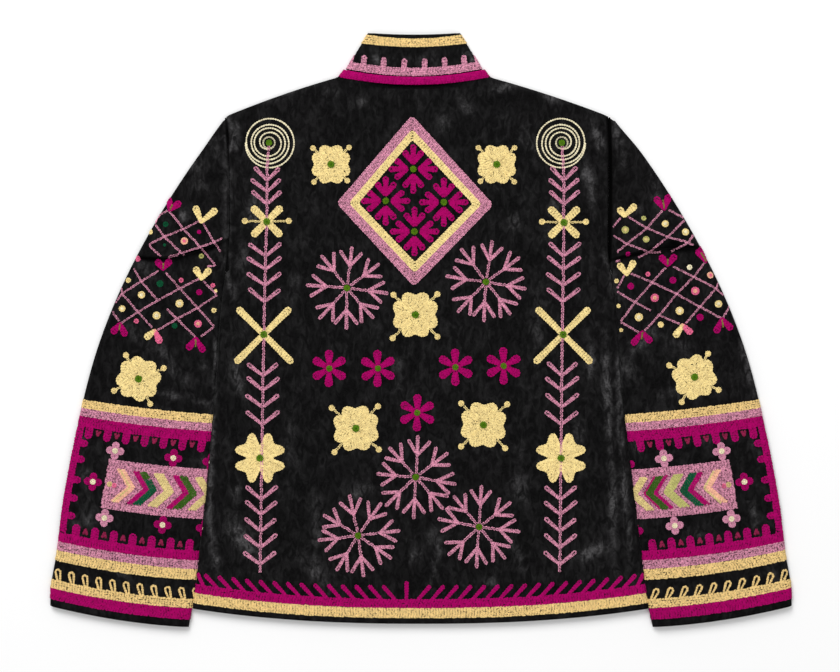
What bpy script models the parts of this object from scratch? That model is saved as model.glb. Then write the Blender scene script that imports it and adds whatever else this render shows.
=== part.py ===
"""A velvet jacket with a stand collar and wide sleeves, laid flat with its back upwards.

+X runs across the jacket, +Y towards the collar and +Z up from the surface that it lies on.
The origin is on that surface, under the middle of the jacket's outline.
Lengths are written in millimetres and become metres where the meshes are made.
Every piece is a wall of cloth: a net of points for its outer face, a second net one wall
further in, and a rim that joins the two along each cut edge.
"""

import math
from collections import namedtuple

import bmesh
import bpy
import numpy as np

MM = 0.001

# Cloth
WALL = 3.0
SEAM = 0.3
HOLLOW = 3.0
WIDEST_HOLLOW = 3.6
LAID_HEIGHT = 2 * WALL + HOLLOW
SEAM_LEVEL = LAID_HEIGHT / 2
TURN_DEPTH = 6.5
QUARTER_TURN = (0.0, 45.0, 90.0)
HALF_TURN = (0.0, 45.0, 90.0, 135.0, 180.0)

# Body: where its middle lies and half its width, at each height
BodyRow = namedtuple("BodyRow", "y middle half_width")
BODY_ROWS = (
    BodyRow(-345, -0.3, 269.6),
    BodyRow(-324, -0.6, 265.5),
    BodyRow(-242, -0.8, 255.0),
    BodyRow(-167, -1.5, 246.5),
    BodyRow(-97, -2.5, 239.0),
    BodyRow(-55, -2.9, 235.0),
    BodyRow(1, -2.9, 231.5),
    BodyRow(40, -3.0, 227.5),
    BodyRow(68, -3.0, 223.7),
    BodyRow(247, -4.0, 222.0),
    BodyRow(295, -8.0, 222.0),
)
SHOULDER_WIDTH = BODY_ROWS[-1].half_width
SHOULDER_TIP = 249.5
SHOULDER_BULGE = 2.0
ARMPIT = 68.0
HEM_LOW = -340.0
HEM_RISE = 18.0
HEM_CURVE = 2.3
FRONT_OPENING = 1.6
LEVELS_TO_ARMPIT = 8
LEVELS_TO_HEM = 9
BACK_SHOULDER = (0.42, 0.53, 0.64, 0.75, 0.86)
FRONT_SHOULDER = (0.42, 0.6, 0.8)

# Neckline, neck band and collar. Each line has its half width and height where it folds over the
# shoulder, how far it hangs at the middle of the back, and its height at the front opening.
NeckLine = namedtuple("NeckLine", "half_width fold_y back_drop front_y front_bend")
NECKLINE = NeckLine(88.0, 294.6, 9.2, 221.0, 33.0)
BAND_TOP = NeckLine(81.0, 303.8, 8.3, 231.6, 27.0)
COLLAR_FOOT = NeckLine(78.8, 304.2, 8.3, 232.0, 26.0)
COLLAR_EDGE = NeckLine(53.2, 344.0, 0.0, 281.0, 23.0)
NECK_STEPS = 5
FRONT_NECK_GAP = 0.5
BAND_BEAD = 1.8
BeadRing = namedtuple("BeadRing", "share bead")
BAND_RINGS = (BeadRing(0.0, 0.0), BeadRing(0.25, 1.0), BeadRing(0.75, 1.0), BeadRing(1.0, 0.0))
COLLAR_RINGS = (BeadRing(0.0, 0.0), BeadRing(0.5, 0.0), BeadRing(1.0, 0.0))

# Sleeves: how far out from the jacket's middle the outer edge lies, at each height
SleeveEdge = namedtuple("SleeveEdge", "y reach")
SLEEVE_EDGES = (
    SleeveEdge(-319, 430.5),
    SleeveEdge(-300, 430.0),
    SleeveEdge(-254, 422.5),
    SleeveEdge(-208, 417.0),
    SleeveEdge(-161, 409.0),
    SleeveEdge(-115, 399.6),
    SleeveEdge(-68, 389.2),
    SleeveEdge(-22, 376.2),
    SleeveEdge(24, 359.2),
    SleeveEdge(71, 338.0),
    SleeveEdge(117, 313.5),
    SleeveEdge(164, 285.0),
    SleeveEdge(210, 253.5),
    SleeveEdge(245, 226.4),
)
SLEEVE_CLEARANCE = 0.9
# Lines across a sleeve, by their heights at the outer and the inner edge. Bow lifts the middle of
# the line, and rows is the number of rows of the net that lead to it from the line before.
SleeveLine = namedtuple("SleeveLine", "outer_y inner_y bow rows")
SLEEVE_TIP = SleeveLine(236.0, 247.0, 0.0, 0)
SLEEVE_LAP = {-1: SleeveLine(88.0, 110.0, -9.0, 7), 1: SleeveLine(97.0, 84.0, 6.0, 7)}
SLEEVE_PIT = SleeveLine(58.0, ARMPIT, -3.0, 2)
SLEEVE_ELBOW = SleeveLine(-79.0, -97.0, -2.0, 7)
SLEEVE_CUFF = SleeveLine(-319.0, -344.0, -4.4, 10)
UPPER_STEPS = 9
LOWER_STEPS = 4
# The bend of the arm makes the upper part of the sleeve lap over the lower part
LAP_STEP = 3.0
LAP_RISE = 5.0
LAP_REACH = 58.0
LAP_TUCK = 0.9
TUCK_REACH = 40.0
LAP_AT_ENDS = 0.4

# Soft creases, and a few ridges, in the upper layer, each from one point to another
Crease = namedtuple("Crease", "x0 y0 x1 y1 width height")
CREASES = (
    Crease(-222, 64, -206, 22, 14, -1.1),
    Crease(-204, 92, -206, 20, 13, 0.5),
    Crease(-240, -215, -232, -290, 16, -0.9),
    Crease(214, -50, 221, -150, 16, -1.0),
    Crease(-120, 280, -185, 236, 18, -0.9),
    Crease(84, 272, 40, 256, 18, -0.8),
    Crease(110, 280, 190, 240, 20, -0.7),
    Crease(-305, -16, -268, -48, 18, -1.1),
    Crease(-318, -66, -252, -84, 16, -1.2),
    Crease(262, -10, 300, -40, 18, -1.0),
    Crease(330, 40, 262, 8, 20, -0.9),
    Crease(-330, -190, -262, -170, 24, -0.6),
    Crease(290, -250, 350, -228, 24, -0.6),
)

# Finish
VELVET = (0.012, 0.012, 0.014, 1.0)
VELVET_ROUGHNESS = 0.9
MAGENTA_THREAD = (0.36, 0.01, 0.12, 1.0)
THREAD_ROUGHNESS = 0.7


def blend(a, b, share):
    return a + (b - a) * share


def blend_rows(a, b, share):
    return type(a)(*(blend(p, q, share) for p, q in zip(a, b)))


def curve_through(rows, value):
    """A smooth function of height that passes through one column of a table."""
    at = np.array([row.y for row in rows], float)
    size = np.array([getattr(row, value) for row in rows], float)
    slope = np.gradient(size, at)

    def read(y):
        y = min(max(y, at[0]), at[-1])
        i = min(int(np.searchsorted(at, y, side="right")) - 1, len(at) - 2)
        step = at[i + 1] - at[i]
        t = (y - at[i]) / step
        through = (2 * t**3 - 3 * t**2 + 1) * size[i] + (3 * t**2 - 2 * t**3) * size[i + 1]
        lean = (t**3 - 2 * t**2 + t) * slope[i] + (t**3 - t**2) * slope[i + 1]
        return through + step * lean

    return read


body_middle = curve_through(BODY_ROWS, "middle")
body_half_width = curve_through(BODY_ROWS, "half_width")
sleeve_reach = curve_through(SLEEVE_EDGES, "reach")


def crease_height(x, y):
    """How far the creases lift the upper layer at a point; a trough is negative."""
    total = 0.0
    for c in CREASES:
        along_x, along_y = c.x1 - c.x0, c.y1 - c.y0
        share = ((x - c.x0) * along_x + (y - c.y0) * along_y) / (along_x**2 + along_y**2)
        share = min(max(share, 0.0), 1.0)
        away = math.hypot(x - c.x0 - share * along_x, y - c.y0 - share * along_y)
        total += c.height * math.exp(-((away / c.width) ** 2))
    return total


def hidden_face(top):
    """The height of the upper layer's hidden face, which never opens a wide hollow."""
    return min(top - WALL, WALL + WIDEST_HOLLOW)


def turn_insets(angle, depth=TURN_DEPTH):
    """How far in from a turned edge the outer and inner faces lie, at an angle of the turn.

    Zero is flat on top, 90 is the outermost point and 180 is flat beneath.
    """
    back = 1 - math.sin(math.radians(angle))
    return depth * back, WALL + (depth - WALL) * back


def turn_heights(angle, top):
    """The heights of the outer and inner faces at an angle of the turn round an edge."""
    lift = math.cos(math.radians(angle))
    if lift >= 0:
        return (blend(SEAM_LEVEL, top, lift), blend(SEAM_LEVEL, hidden_face(top), lift))
    return SEAM_LEVEL * (1 + lift), blend(SEAM_LEVEL, WALL, -lift)


def add_material(piece, colour, roughness):
    material = bpy.data.materials.new(piece.name + "_finish")
    material.use_nodes = True
    shader = material.node_tree.nodes["Principled BSDF"]
    shader.inputs["Base Color"].default_value = colour
    shader.inputs["Roughness"].default_value = roughness
    shader.inputs["Metallic"].default_value = 0.0
    piece.data.materials.append(material)


def add_wall(name, outer, inner, quads):
    """A closed wall of cloth between two nets of points, in millimetres, with the same faces."""
    count = len(outer)
    faces = [tuple(q) for q in quads]
    faces += [tuple(count + i for i in reversed(q)) for q in quads]
    edges = {(q[k - 1], q[k]) for q in quads for k in range(4)}
    rim = sorted((a, b) for a, b in edges if (b, a) not in edges)
    faces += [(b, a, count + a, count + b) for a, b in rim]
    mesh = bpy.data.meshes.new(name)
    mesh.from_pydata([[c * MM for c in point] for point in (*outer, *inner)], [], faces)
    work = bmesh.new()
    work.from_mesh(mesh)
    bmesh.ops.triangulate(work, faces=work.faces, quad_method="SHORT_EDGE")
    bmesh.ops.recalc_face_normals(work, faces=work.faces)
    work.to_mesh(mesh)
    work.free()
    mesh.shade_smooth()
    mesh.set_sharp_from_angle(angle=math.radians(50))
    piece = bpy.data.objects.new(name, mesh)
    bpy.context.scene.collection.objects.link(piece)
    add_material(piece, VELVET, VELVET_ROUGHNESS)
    return piece


def net_quads(rows):
    """Faces between neighbouring rows of point numbers, as far as both rows reach."""
    quads = []
    for row, after in zip(rows, rows[1:]):
        for k in range(min(len(row), len(after)) - 1):
            quads.append((row[k], row[k + 1], after[k + 1], after[k]))
    return quads


# Body

# side is -1 or 1, share is of the body's half width, round_top is for a shoulder and angle is
# that of the turn round the side edge, or None away from it
Column = namedtuple("Column", "side share top_y round_top angle")


def shoulder_y(share):
    start = NECKLINE.half_width / SHOULDER_WIDTH
    along = (share - start) / (1 - start)
    return blend(NECKLINE.fold_y, SHOULDER_TIP, along) + SHOULDER_BULGE * 4 * along * (1 - along)


def hem_y(share):
    return HEM_LOW + HEM_RISE * share**HEM_CURVE


def neck_back(line, share):
    """A neck line's back half, from the middle at 0 to the shoulder fold at 1."""
    return share * line.half_width, line.fold_y - line.back_drop * (1 - share**2)


def neck_front(line, t):
    """A neck line's front half, from the shoulder fold at 0 to the front opening at 1."""
    x = (1 - t) ** 2 * line.half_width + 2 * t * (1 - t) * line.front_bend
    y = blend(line.front_y, line.fold_y, (1 - t) ** 2)
    return x + t**2 * FRONT_OPENING / 2, y


def half_columns(side, neck, shoulder_shares):
    """Columns from the middle of a panel to its side edge."""
    columns = [Column(side, x / SHOULDER_WIDTH, y, False, None) for x, y in neck]
    columns += [Column(side, s, shoulder_y(s), True, None) for s in shoulder_shares]
    columns += [Column(side, 1.0, SHOULDER_TIP, True, angle) for angle in QUARTER_TURN]
    return columns


def column_places(column):
    """(height, angle of the turn over the shoulder, whether it is under the arm) to the hem."""
    places = [
        (column.top_y - turn_insets(angle)[0], angle, False) for angle in reversed(QUARTER_TURN)
    ]
    start, hem = places[-1][0], hem_y(column.share)
    for k in range(1, LEVELS_TO_ARMPIT):
        places.append((blend(start, ARMPIT, k / LEVELS_TO_ARMPIT), 0.0, False))
    for k in range(LEVELS_TO_HEM + 1):
        places.append((blend(ARMPIT, hem, k / LEVELS_TO_HEM), 0.0, True))
    return places


def body_points(column, place, upper):
    """A body panel's outer and inner points at one place of its net."""
    y, shoulder_angle, under_arm = place
    outer_in = inner_in = side_angle = 0.0
    if column.angle is not None:
        outer_in, inner_in = (inset + SEAM / 2 for inset in turn_insets(column.angle))
        side_angle = column.angle if under_arm else 0.0
        inner_in = inner_in if under_arm else outer_in
    over = shoulder_angle if column.round_top else 0.0
    top_out, top_in = turn_insets(shoulder_angle)
    inner_y = y - (top_in - top_out if column.round_top else 0.0)
    lift = math.cos(math.radians(side_angle)) * math.cos(math.radians(over))
    edge = column.share * body_half_width(y)
    outer_x = body_middle(y) + column.side * (edge - outer_in)
    inner_x = body_middle(y) + column.side * (edge - inner_in)
    if upper:
        seam = SEAM_LEVEL + SEAM / 2
        top = LAID_HEIGHT + crease_height(outer_x, y)
        outer_z, inner_z = blend(seam, top, lift), blend(seam, hidden_face(top), lift)
    else:
        seam = SEAM_LEVEL - SEAM / 2
        outer_z, inner_z = blend(seam, 0.0, lift), blend(seam, WALL, lift)
    return (outer_x, y, outer_z), (inner_x, inner_y, inner_z)


def body_panel(name, columns, upper):
    outer, inner, rows = [], [], []
    for places in zip(*(column_places(column) for column in columns)):
        rows.append(range(len(outer), len(outer) + len(columns)))
        for column, place in zip(columns, places):
            outside, inside = body_points(column, place, upper)
            outer.append(outside)
            inner.append(inside)
    return add_wall(name, outer, inner, net_quads(rows))


def back():
    halves = {}
    for side in (-1, 1):
        neck = [neck_back(NECKLINE, k / NECK_STEPS) for k in range(NECK_STEPS + 1)]
        neck = [(x, y - SEAM) for x, y in neck]
        halves[side] = half_columns(side, neck, BACK_SHOULDER)
    return body_panel("back", halves[-1][:0:-1] + halves[1], upper=True)


def front(name, side):
    neck = [neck_front(NECKLINE, 1 - k / NECK_STEPS) for k in range(NECK_STEPS + 1)]
    neck = [(x, y - FRONT_NECK_GAP) for x, y in neck]
    return body_panel(name, half_columns(side, neck, FRONT_SHOULDER), upper=False)


# Collar and neck band


def neck_ring_row(line, bead):
    """Outer and inner points of one line round the neck, front edge to front edge."""
    outer, inner = [], []
    steps = [k / NECK_STEPS for k in range(NECK_STEPS + 1)]

    def add(side, x, y, shift_outer, shift_inner, outer_z, inner_z):
        for points, shift, z in ((outer, shift_outer, outer_z), (inner, shift_inner, inner_z)):
            at_x, at_y = x + shift[0], y + shift[1]
            points.append((body_middle(at_y) + side * at_x, at_y, z))

    def front_half(side):
        for t in steps[:0:-1] if side < 0 else steps[1:]:
            x, y = neck_front(line, t)
            add(side, x, y, (0, 0), (0, 0), 0.0, WALL)

    def fold(side):
        x, y = line.half_width, line.fold_y
        for angle in HALF_TURN[::-1] if side < 0 else HALF_TURN:
            near = neck_back(line, steps[-2]) if angle <= 90 else neck_front(line, steps[1])
            along = math.hypot(near[0] - x, near[1] - y)
            shifts = [
                ((near[0] - x) / along * inset, (near[1] - y) / along * inset)
                for inset in turn_insets(angle)
            ]
            add(side, x, y, *shifts, *turn_heights(angle, LAID_HEIGHT + bead))

    front_half(-1)
    fold(-1)
    for k in range(1 - NECK_STEPS, NECK_STEPS):
        x, y = neck_back(line, abs(k) / NECK_STEPS)
        side = -1 if k < 0 else 1
        add(side, x, y, (0, 0), (0, 0), LAID_HEIGHT + bead, LAID_HEIGHT - WALL)
    fold(1)
    front_half(1)
    return outer, inner


def neck_ring(name, lower, upper, rings):
    outer, inner, rows = [], [], []
    for ring in rings:
        line = blend_rows(lower, upper, ring.share)
        outside, inside = neck_ring_row(line, ring.bead * BAND_BEAD)
        rows.append(range(len(outer), len(outer) + len(outside)))
        outer += outside
        inner += inside
    return add_wall(name, outer, inner, net_quads(rows))


# Sleeves


def sleeve_lines(side):
    """The rows of a sleeve's net, from the shoulder's tip to the cuff."""
    lap = SLEEVE_LAP[side]
    foot = SleeveLine(lap.outer_y - LAP_STEP, lap.inner_y - LAP_STEP, lap.bow, 1)
    marks = (SLEEVE_TIP, lap, foot, SLEEVE_PIT, SLEEVE_ELBOW, SLEEVE_CUFF)
    lines = [SLEEVE_TIP]
    for start, end in zip(marks, marks[1:]):
        lines += [blend_rows(start, end, k / end.rows) for k in range(1, end.rows + 1)]
    return lines


def line_height(line, share):
    return blend(line.outer_y, line.inner_y, share) + line.bow * 4 * share * (1 - share)


def lap_height(side, share, y):
    """How far the lapped bend lifts the upper layer, at a share of the way to the inner edge."""
    above = y - line_height(SLEEVE_LAP[side], share)
    if above < -LAP_STEP / 2:
        return -LAP_TUCK * max(0.0, 1 + above / TUCK_REACH)
    ends = blend(LAP_AT_ENDS, 1.0, math.sin(math.pi * min(max(share, 0.0), 1.0)))
    return LAP_RISE * ends * max(0.0, 1 - above / LAP_REACH) ** 2


def sleeve_row(side, line):
    """Outer and inner points of one ring of a sleeve.

    The ring starts at the inner edge of the lower layer, goes round the outer edge and comes
    back over the top. Below the armpit it also turns round the inner edge and closes; above it,
    both layers run flat to the armhole seam.
    """
    closed = line.inner_y <= ARMPIT
    gap = SLEEVE_CLEARANCE if closed else SEAM / 2
    start_x = side * sleeve_reach(line.outer_y)
    end_x = body_middle(line.inner_y) + side * (body_half_width(line.inner_y) + gap)
    width = math.hypot(end_x - start_x, line.inner_y - line.outer_y)
    depth = min(TURN_DEPTH, width / 3)
    outer, inner = [], []

    def place(inset):
        share = inset / width
        return blend(start_x, end_x, share), line_height(line, share), share

    def top_at(inset):
        x, y, share = place(inset)
        return LAID_HEIGHT + crease_height(x, y) + lap_height(side, share, y)

    def add(outer_inset, inner_inset, outer_z, inner_z):
        outer.append((*place(outer_inset)[:2], outer_z))
        inner.append((*place(inner_inset)[:2], inner_z))

    def flat(inset, upper):
        top = top_at(inset)
        heights = (top, hidden_face(top)) if upper else (0.0, WALL)
        add(inset, inset, *heights)

    def turn_to_body(angle, upper):
        insets = [width - inset for inset in turn_insets(angle, depth)]
        if closed:
            add(*insets, *turn_heights(angle, top_at(insets[0])))
        else:
            flat(insets[0], upper)

    turn_to_body(90.0, upper=False)
    turn_to_body(135.0, upper=False)
    for k in range(LOWER_STEPS):
        flat(blend(width - depth, depth, k / LOWER_STEPS), upper=False)
    for angle in reversed(HALF_TURN):
        insets = turn_insets(angle, depth)
        add(*insets, *turn_heights(angle, top_at(insets[0])))
    for k in range(1, UPPER_STEPS + 1):
        flat(blend(depth, width - depth, k / UPPER_STEPS), upper=True)
    turn_to_body(45.0, upper=True)
    if not closed:
        turn_to_body(90.0, upper=True)
    return outer, inner, closed


def sleeve(name, side):
    outer, inner, rows = [], [], []
    for line in sleeve_lines(side):
        outside, inside, closed = sleeve_row(side, line)
        row = list(range(len(outer), len(outer) + len(outside)))
        rows.append([*row, row[0]] if closed else row)
        outer += outside
        inner += inside
    return add_wall(name, outer, inner, net_quads(rows))


def main():
    for leftover in list(bpy.data.objects):
        bpy.data.objects.remove(leftover, do_unlink=True)
    back()
    front("front_left", -1)
    front("front_right", 1)
    sleeve("sleeve_left", -1)
    sleeve("sleeve_right", 1)
    neck_ring("collar", COLLAR_FOOT, COLLAR_EDGE, COLLAR_RINGS)
    band = neck_ring("collar_band", NECKLINE, BAND_TOP, BAND_RINGS)
    band.data.materials.clear()
    add_material(band, MAGENTA_THREAD, THREAD_ROUGHNESS)


main()
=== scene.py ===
"""An embroidered velvet jacket, laid flat with its back upwards: the looks of its cloth and thread.

+X runs across the jacket, +Y towards the collar and +Z up from the surface that it lies on.
Lengths are in millimetres, and become metres where the meshes are made. Each piece of cloth has a
chart: a function that turns a place on it, (u across, v up), into a point in space. The chart
follows the CAD part's outer face, and goes on round its turned edges. Velvet is a thin wall laid
on the chart, and the embroidery is rows of chain stitch worked on the same chart.
"""

import math
from collections import namedtuple

import bpy
import numpy as np
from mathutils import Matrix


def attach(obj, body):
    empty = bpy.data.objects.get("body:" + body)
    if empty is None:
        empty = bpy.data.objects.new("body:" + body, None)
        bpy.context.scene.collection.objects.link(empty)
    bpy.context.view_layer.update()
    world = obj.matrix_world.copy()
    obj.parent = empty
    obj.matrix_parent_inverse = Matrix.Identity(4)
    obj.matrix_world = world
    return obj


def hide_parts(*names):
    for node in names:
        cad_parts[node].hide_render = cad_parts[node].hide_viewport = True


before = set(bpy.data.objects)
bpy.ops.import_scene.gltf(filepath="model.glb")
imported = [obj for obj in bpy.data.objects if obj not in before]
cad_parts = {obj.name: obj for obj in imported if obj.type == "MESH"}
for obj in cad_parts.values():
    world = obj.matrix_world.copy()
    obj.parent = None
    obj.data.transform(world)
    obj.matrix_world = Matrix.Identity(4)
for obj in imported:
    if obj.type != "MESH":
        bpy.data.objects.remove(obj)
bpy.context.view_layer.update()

MM = 0.001

# The cloth's form, as in the CAD part. Each turned edge is TURN_STRETCH times as long, round its
# quarter turn, as it is deep.
SEAM = 0.3
LAID_HEIGHT = 9.0
SEAM_LEVEL = LAID_HEIGHT / 2
TURN_DEPTH = 6.5
TURN_STRETCH = 1.34

# Where the body's middle lies, half its width, and how far out the sleeves reach, by height
BODY_MIDDLE = (
    (-345, -0.3), (-324, -0.6), (-242, -0.8), (-167, -1.5), (-97, -2.5), (-55, -2.9),
    (1, -2.9), (40, -3.0), (68, -3.0), (247, -4.0), (295, -8.0),
)
BODY_HALF_WIDTH = (
    (-345, 269.6), (-324, 265.5), (-242, 255.0), (-167, 246.5), (-97, 239.0), (-55, 235.0),
    (1, 231.5), (40, 227.5), (68, 223.7), (247, 222.0), (295, 222.0),
)
SLEEVE_REACH = (
    (-319, 430.5), (-300, 430.0), (-254, 422.5), (-208, 417.0), (-161, 409.0), (-115, 399.6),
    (-68, 389.2), (-22, 376.2), (24, 359.2), (71, 338.0), (117, 313.5), (164, 285.0),
    (210, 253.5), (245, 226.4),
)
SHOULDER_WIDTH = 222.0
SHOULDER_TIP = 249.5
SHOULDER_BULGE = 2.0
# The shoulder line bends down by TIP_DROP at its end, from this share of its length on
TIP_DROP = 0.9
TIP_BEND = 0.955
# Between these heights both sleeves' outer edges move over to the left, as the body's middle does
TIP_SHIFT = 2.2
TIP_SHIFT_LOW, TIP_SHIFT_HIGH = 205.0, 243.0
# How far the neck edge of the body goes on beneath the neck band
UNDER_BAND = 2.0
ARMPIT = 68.0
# The armhole seam is a groove in the cloth on both sides of it
GROOVE_WIDTH = 3.5
BODY_GROOVE = 1.3
SLEEVE_GROOVE = 1.0
UPPER_SLEEVE_WIDTH = 120.0
HEM_LOW = -340.0
HEM_RISE = 18.0
HEM_CURVE = 2.3
FRONT_OPENING = 1.6
SLEEVE_CLEARANCE = 0.9

# Each line round the neck: its half width and height where it folds over the shoulder, how far
# it hangs at the middle of the back, and its height at the front opening
NeckLine = namedtuple("NeckLine", "half_width fold_y back_drop front_y front_bend")
NECKLINE = NeckLine(88.0, 294.6, 9.2, 221.0, 33.0)
BAND_TOP = NeckLine(81.0, 303.8, 8.3, 231.6, 27.0)
COLLAR_FOOT = NeckLine(78.8, 304.2, 8.3, 232.0, 26.0)
COLLAR_EDGE = NeckLine(53.2, 346.2, 2.0, 281.0, 23.0)
COLLAR_DEEP = 46.0
BAND_DEEP = 10.0
BAND_BEAD = 1.8

# Lines across a sleeve, by their heights at the outer and the inner edge; bow lifts the middle.
# The lap is the lower edge of the upper arm's cloth, where it folds over the forearm's.
SleeveLine = namedtuple("SleeveLine", "outer_y inner_y bow")
SLEEVE_TIP = SleeveLine(243.6, 248.0, 0.0)
SLEEVE_LAP = {-1: SleeveLine(88.0, 110.0, -9.0), 1: SleeveLine(97.0, 84.0, 6.0)}
SLEEVE_PIT = SleeveLine(58.0, ARMPIT, -3.0)
SLEEVE_ELBOW = SleeveLine(-79.0, -97.0, -2.0)
SLEEVE_CUFF = SleeveLine(-319.0, -344.0, -4.4)
# Steps from each line to the next: tip, lap, foot of the lap, armpit, elbow and cuff
SLEEVE_STEPS = (30, 6, 7, 26, 46)
LAP_STEP = 3.0
LAP_RISE = 5.0
LAP_REACH = 58.0
LAP_TUCK = 0.9
TUCK_REACH = 40.0
LAP_AT_ENDS = 0.4

# Heights of the slight waves that run all over the upper layer
BROAD_WAVES, NARROW_WAVES = 0.16, 0.1
# Soft creases and ridges of the upper layer: the ends, width and height of each, first those of
# the CAD part
Crease = namedtuple("Crease", "x0 y0 x1 y1 width height")
CREASES = tuple(Crease(*row) for row in (
    (-222, 64, -206, 22, 14, -1.1), (-204, 92, -206, 20, 13, 0.5), (-240, -215, -232, -290, 16, -0.9),
    (214, -50, 221, -150, 16, -1.0), (-120, 280, -185, 236, 18, -0.9), (84, 272, 40, 256, 18, -0.8),
    (110, 280, 190, 240, 20, -0.7), (-305, -16, -268, -48, 18, -1.1), (-318, -66, -252, -84, 16, -1.2),
    (262, -10, 300, -40, 18, -1.0), (330, 40, 262, 8, 20, -0.9), (-330, -190, -262, -170, 24, -0.6),
    (290, -250, 350, -228, 24, -0.6),
    # Finer ones
    (-221, 72, -224, 44, 3.2, 0.7), (-223, 44, -214, 30, 3.4, -0.9), (-206, 78, -207, 36, 4.0, 0.6),
    (218, -58, 219, -146, 4.5, 0.7), (229, -60, 231, -140, 3.5, -0.7),
    (-246, -224, -237, -277, 5.0, -0.8), (-252, -226, -243, -277, 4.5, 0.5),
    (-116, 283, -150, 262, 7.0, -0.8), (92, 262, 46, 270, 8.0, -0.6), (-300, -25, -290, -40, 4.0, -0.8),
    (-303, -71, -268, -76, 4.0, -0.9), (-268, -76, -252, -86, 4.0, -0.8),
    (-247, -34, -242, -42, 6.0, -0.9), (-205, 190, -214, 90, 5.0, 0.4), (270, -18, 292, -34, 5.0, -0.8),
    (318, 36, 276, 12, 6.0, -0.6), (-120, -262, -60, -300, 14.0, -0.3), (60, -20, 120, 14, 16.0, 0.3),
    (-60, 150, -130, 60, 22.0, 0.3), (-286, -100, -262, -190, 10.0, 0.4),
    (300, -110, 320, -200, 12.0, -0.4), (246, -130, 254, -250, 6.0, -0.5),
    (-255, -200, -262, -300, 7.0, -0.5),
))

# Velvet lies this far inside the CAD part's face, so that stitches rise to about that face. At
# its upright edges it lies a little outside it.
INSET = 1.0
SIDE_INSET = -0.6
CLOTH = 1.3
# How far to each side a chart is sampled to find which way the cloth faces
CHART_STEP = 0.4


def blend(a, b, share):
    return a + (b - a) * share


def blend_lines(a, b, share):
    return type(a)(*(blend(p, q, share) for p, q in zip(a, b)))


def smooth_step(value, start, end):
    t = np.clip((value - start) / (end - start), 0.0, 1.0)
    return t * t * (3 - 2 * t)


def curve_through(table):
    """A smooth function of height that passes through a table of (height, size)."""
    at, size = np.array(table, float).T
    slope = np.gradient(size, at)
    y = np.linspace(at[0], at[-1], 1500)
    i = np.clip(np.searchsorted(at, y, side="right") - 1, 0, len(at) - 2)
    step = at[i + 1] - at[i]
    t = (y - at[i]) / step
    through = (2 * t**3 - 3 * t**2 + 1) * size[i] + (3 * t**2 - 2 * t**3) * size[i + 1]
    lean = (t**3 - 2 * t**2 + t) * slope[i] + (t**3 - t**2) * slope[i + 1]
    samples = through + step * lean
    return lambda v: np.interp(v, y, samples)


body_middle = curve_through(BODY_MIDDLE)
body_half_width = curve_through(BODY_HALF_WIDTH)
sleeve_reach = curve_through(SLEEVE_REACH)


def crease_height(x, y):
    """How far waves and creases lift the upper layer at each point; a trough is negative."""
    total = BROAD_WAVES * np.sin(x / 31.0 + 1.3) * np.sin(y / 27.0)
    total = total + NARROW_WAVES * np.sin(x / 13.0 + y / 17.0)
    for c in CREASES:
        along_x, along_y = c.x1 - c.x0, c.y1 - c.y0
        share = ((x - c.x0) * along_x + (y - c.y0) * along_y) / (along_x**2 + along_y**2)
        share = np.clip(share, 0.0, 1.0)
        away = np.hypot(x - c.x0 - share * along_x, y - c.y0 - share * along_y)
        total = total + c.height * np.exp(-((away / c.width) ** 2))
    return total


def below_armpit(v):
    """1 where the sides of body and sleeves are turned edges, and 0 where they are sewn."""
    return smooth_step(v, ARMPIT + 5, ARMPIT - 3)


def beside_neck(from_middle):
    """0 along the neckline, which is cut, and 1 along the shoulder, which is turned."""
    return smooth_step(from_middle, NECKLINE.half_width - 2, NECKLINE.half_width + 6)


def armhole_groove(v, from_seam, depth):
    return depth * np.where(v > ARMPIT, np.exp(-((from_seam / GROOVE_WIDTH) ** 2)), 0.0)


def round_edge(past, depth):
    """How far out, and at what lift, a place lies that is past the start of a turned edge.

    Lift is 1 on top, 0 at the outermost point and -1 beneath.
    """
    length = depth * TURN_STRETCH
    angle = np.clip(past / length, 0.0, 2.0) * (np.pi / 2)
    return depth * np.sin(angle) - np.clip(past - 2 * length, 0.0, None), np.cos(angle)


def face_height(top, lift):
    return np.where(lift >= 0, blend(SEAM_LEVEL, top, lift), SEAM_LEVEL * (1 + lift))


# Body


def hem_y(share):
    return HEM_LOW + HEM_RISE * share**HEM_CURVE


def neck_front(line, t):
    """A neck line's front half, from the shoulder fold at 0 to the front opening at 1."""
    x = (1 - t) ** 2 * line.half_width + 2 * t * (1 - t) * line.front_bend
    y = blend(line.front_y, line.fold_y, (1 - t) ** 2)
    return x + t**2 * FRONT_OPENING / 2, y


def shoulder_y(share):
    start = NECKLINE.half_width / SHOULDER_WIDTH
    along = (share - start) / (1 - start)
    line = blend(NECKLINE.fold_y, SHOULDER_TIP, along) + SHOULDER_BULGE * 4 * along * (1 - along)
    return line - TIP_DROP * smooth_step(along, TIP_BEND, 1.0)


def panel_top(from_middle, upper):
    """The height of a body panel's top edge: its neckline, then its shoulder."""
    inside = from_middle < NECKLINE.half_width
    if upper:
        share = np.clip(from_middle / NECKLINE.half_width, 0, 1)
        neck = NECKLINE.fold_y - NECKLINE.back_drop * (1 - share**2) - SEAM
    else:
        x, y = neck_front(NECKLINE, np.linspace(1, 0, 60))
        neck = np.interp(from_middle, x, y) - SEAM
    shoulder = shoulder_y(np.maximum(from_middle, NECKLINE.half_width) / SHOULDER_WIDTH)
    return np.where(inside, neck, shoulder)


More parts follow.
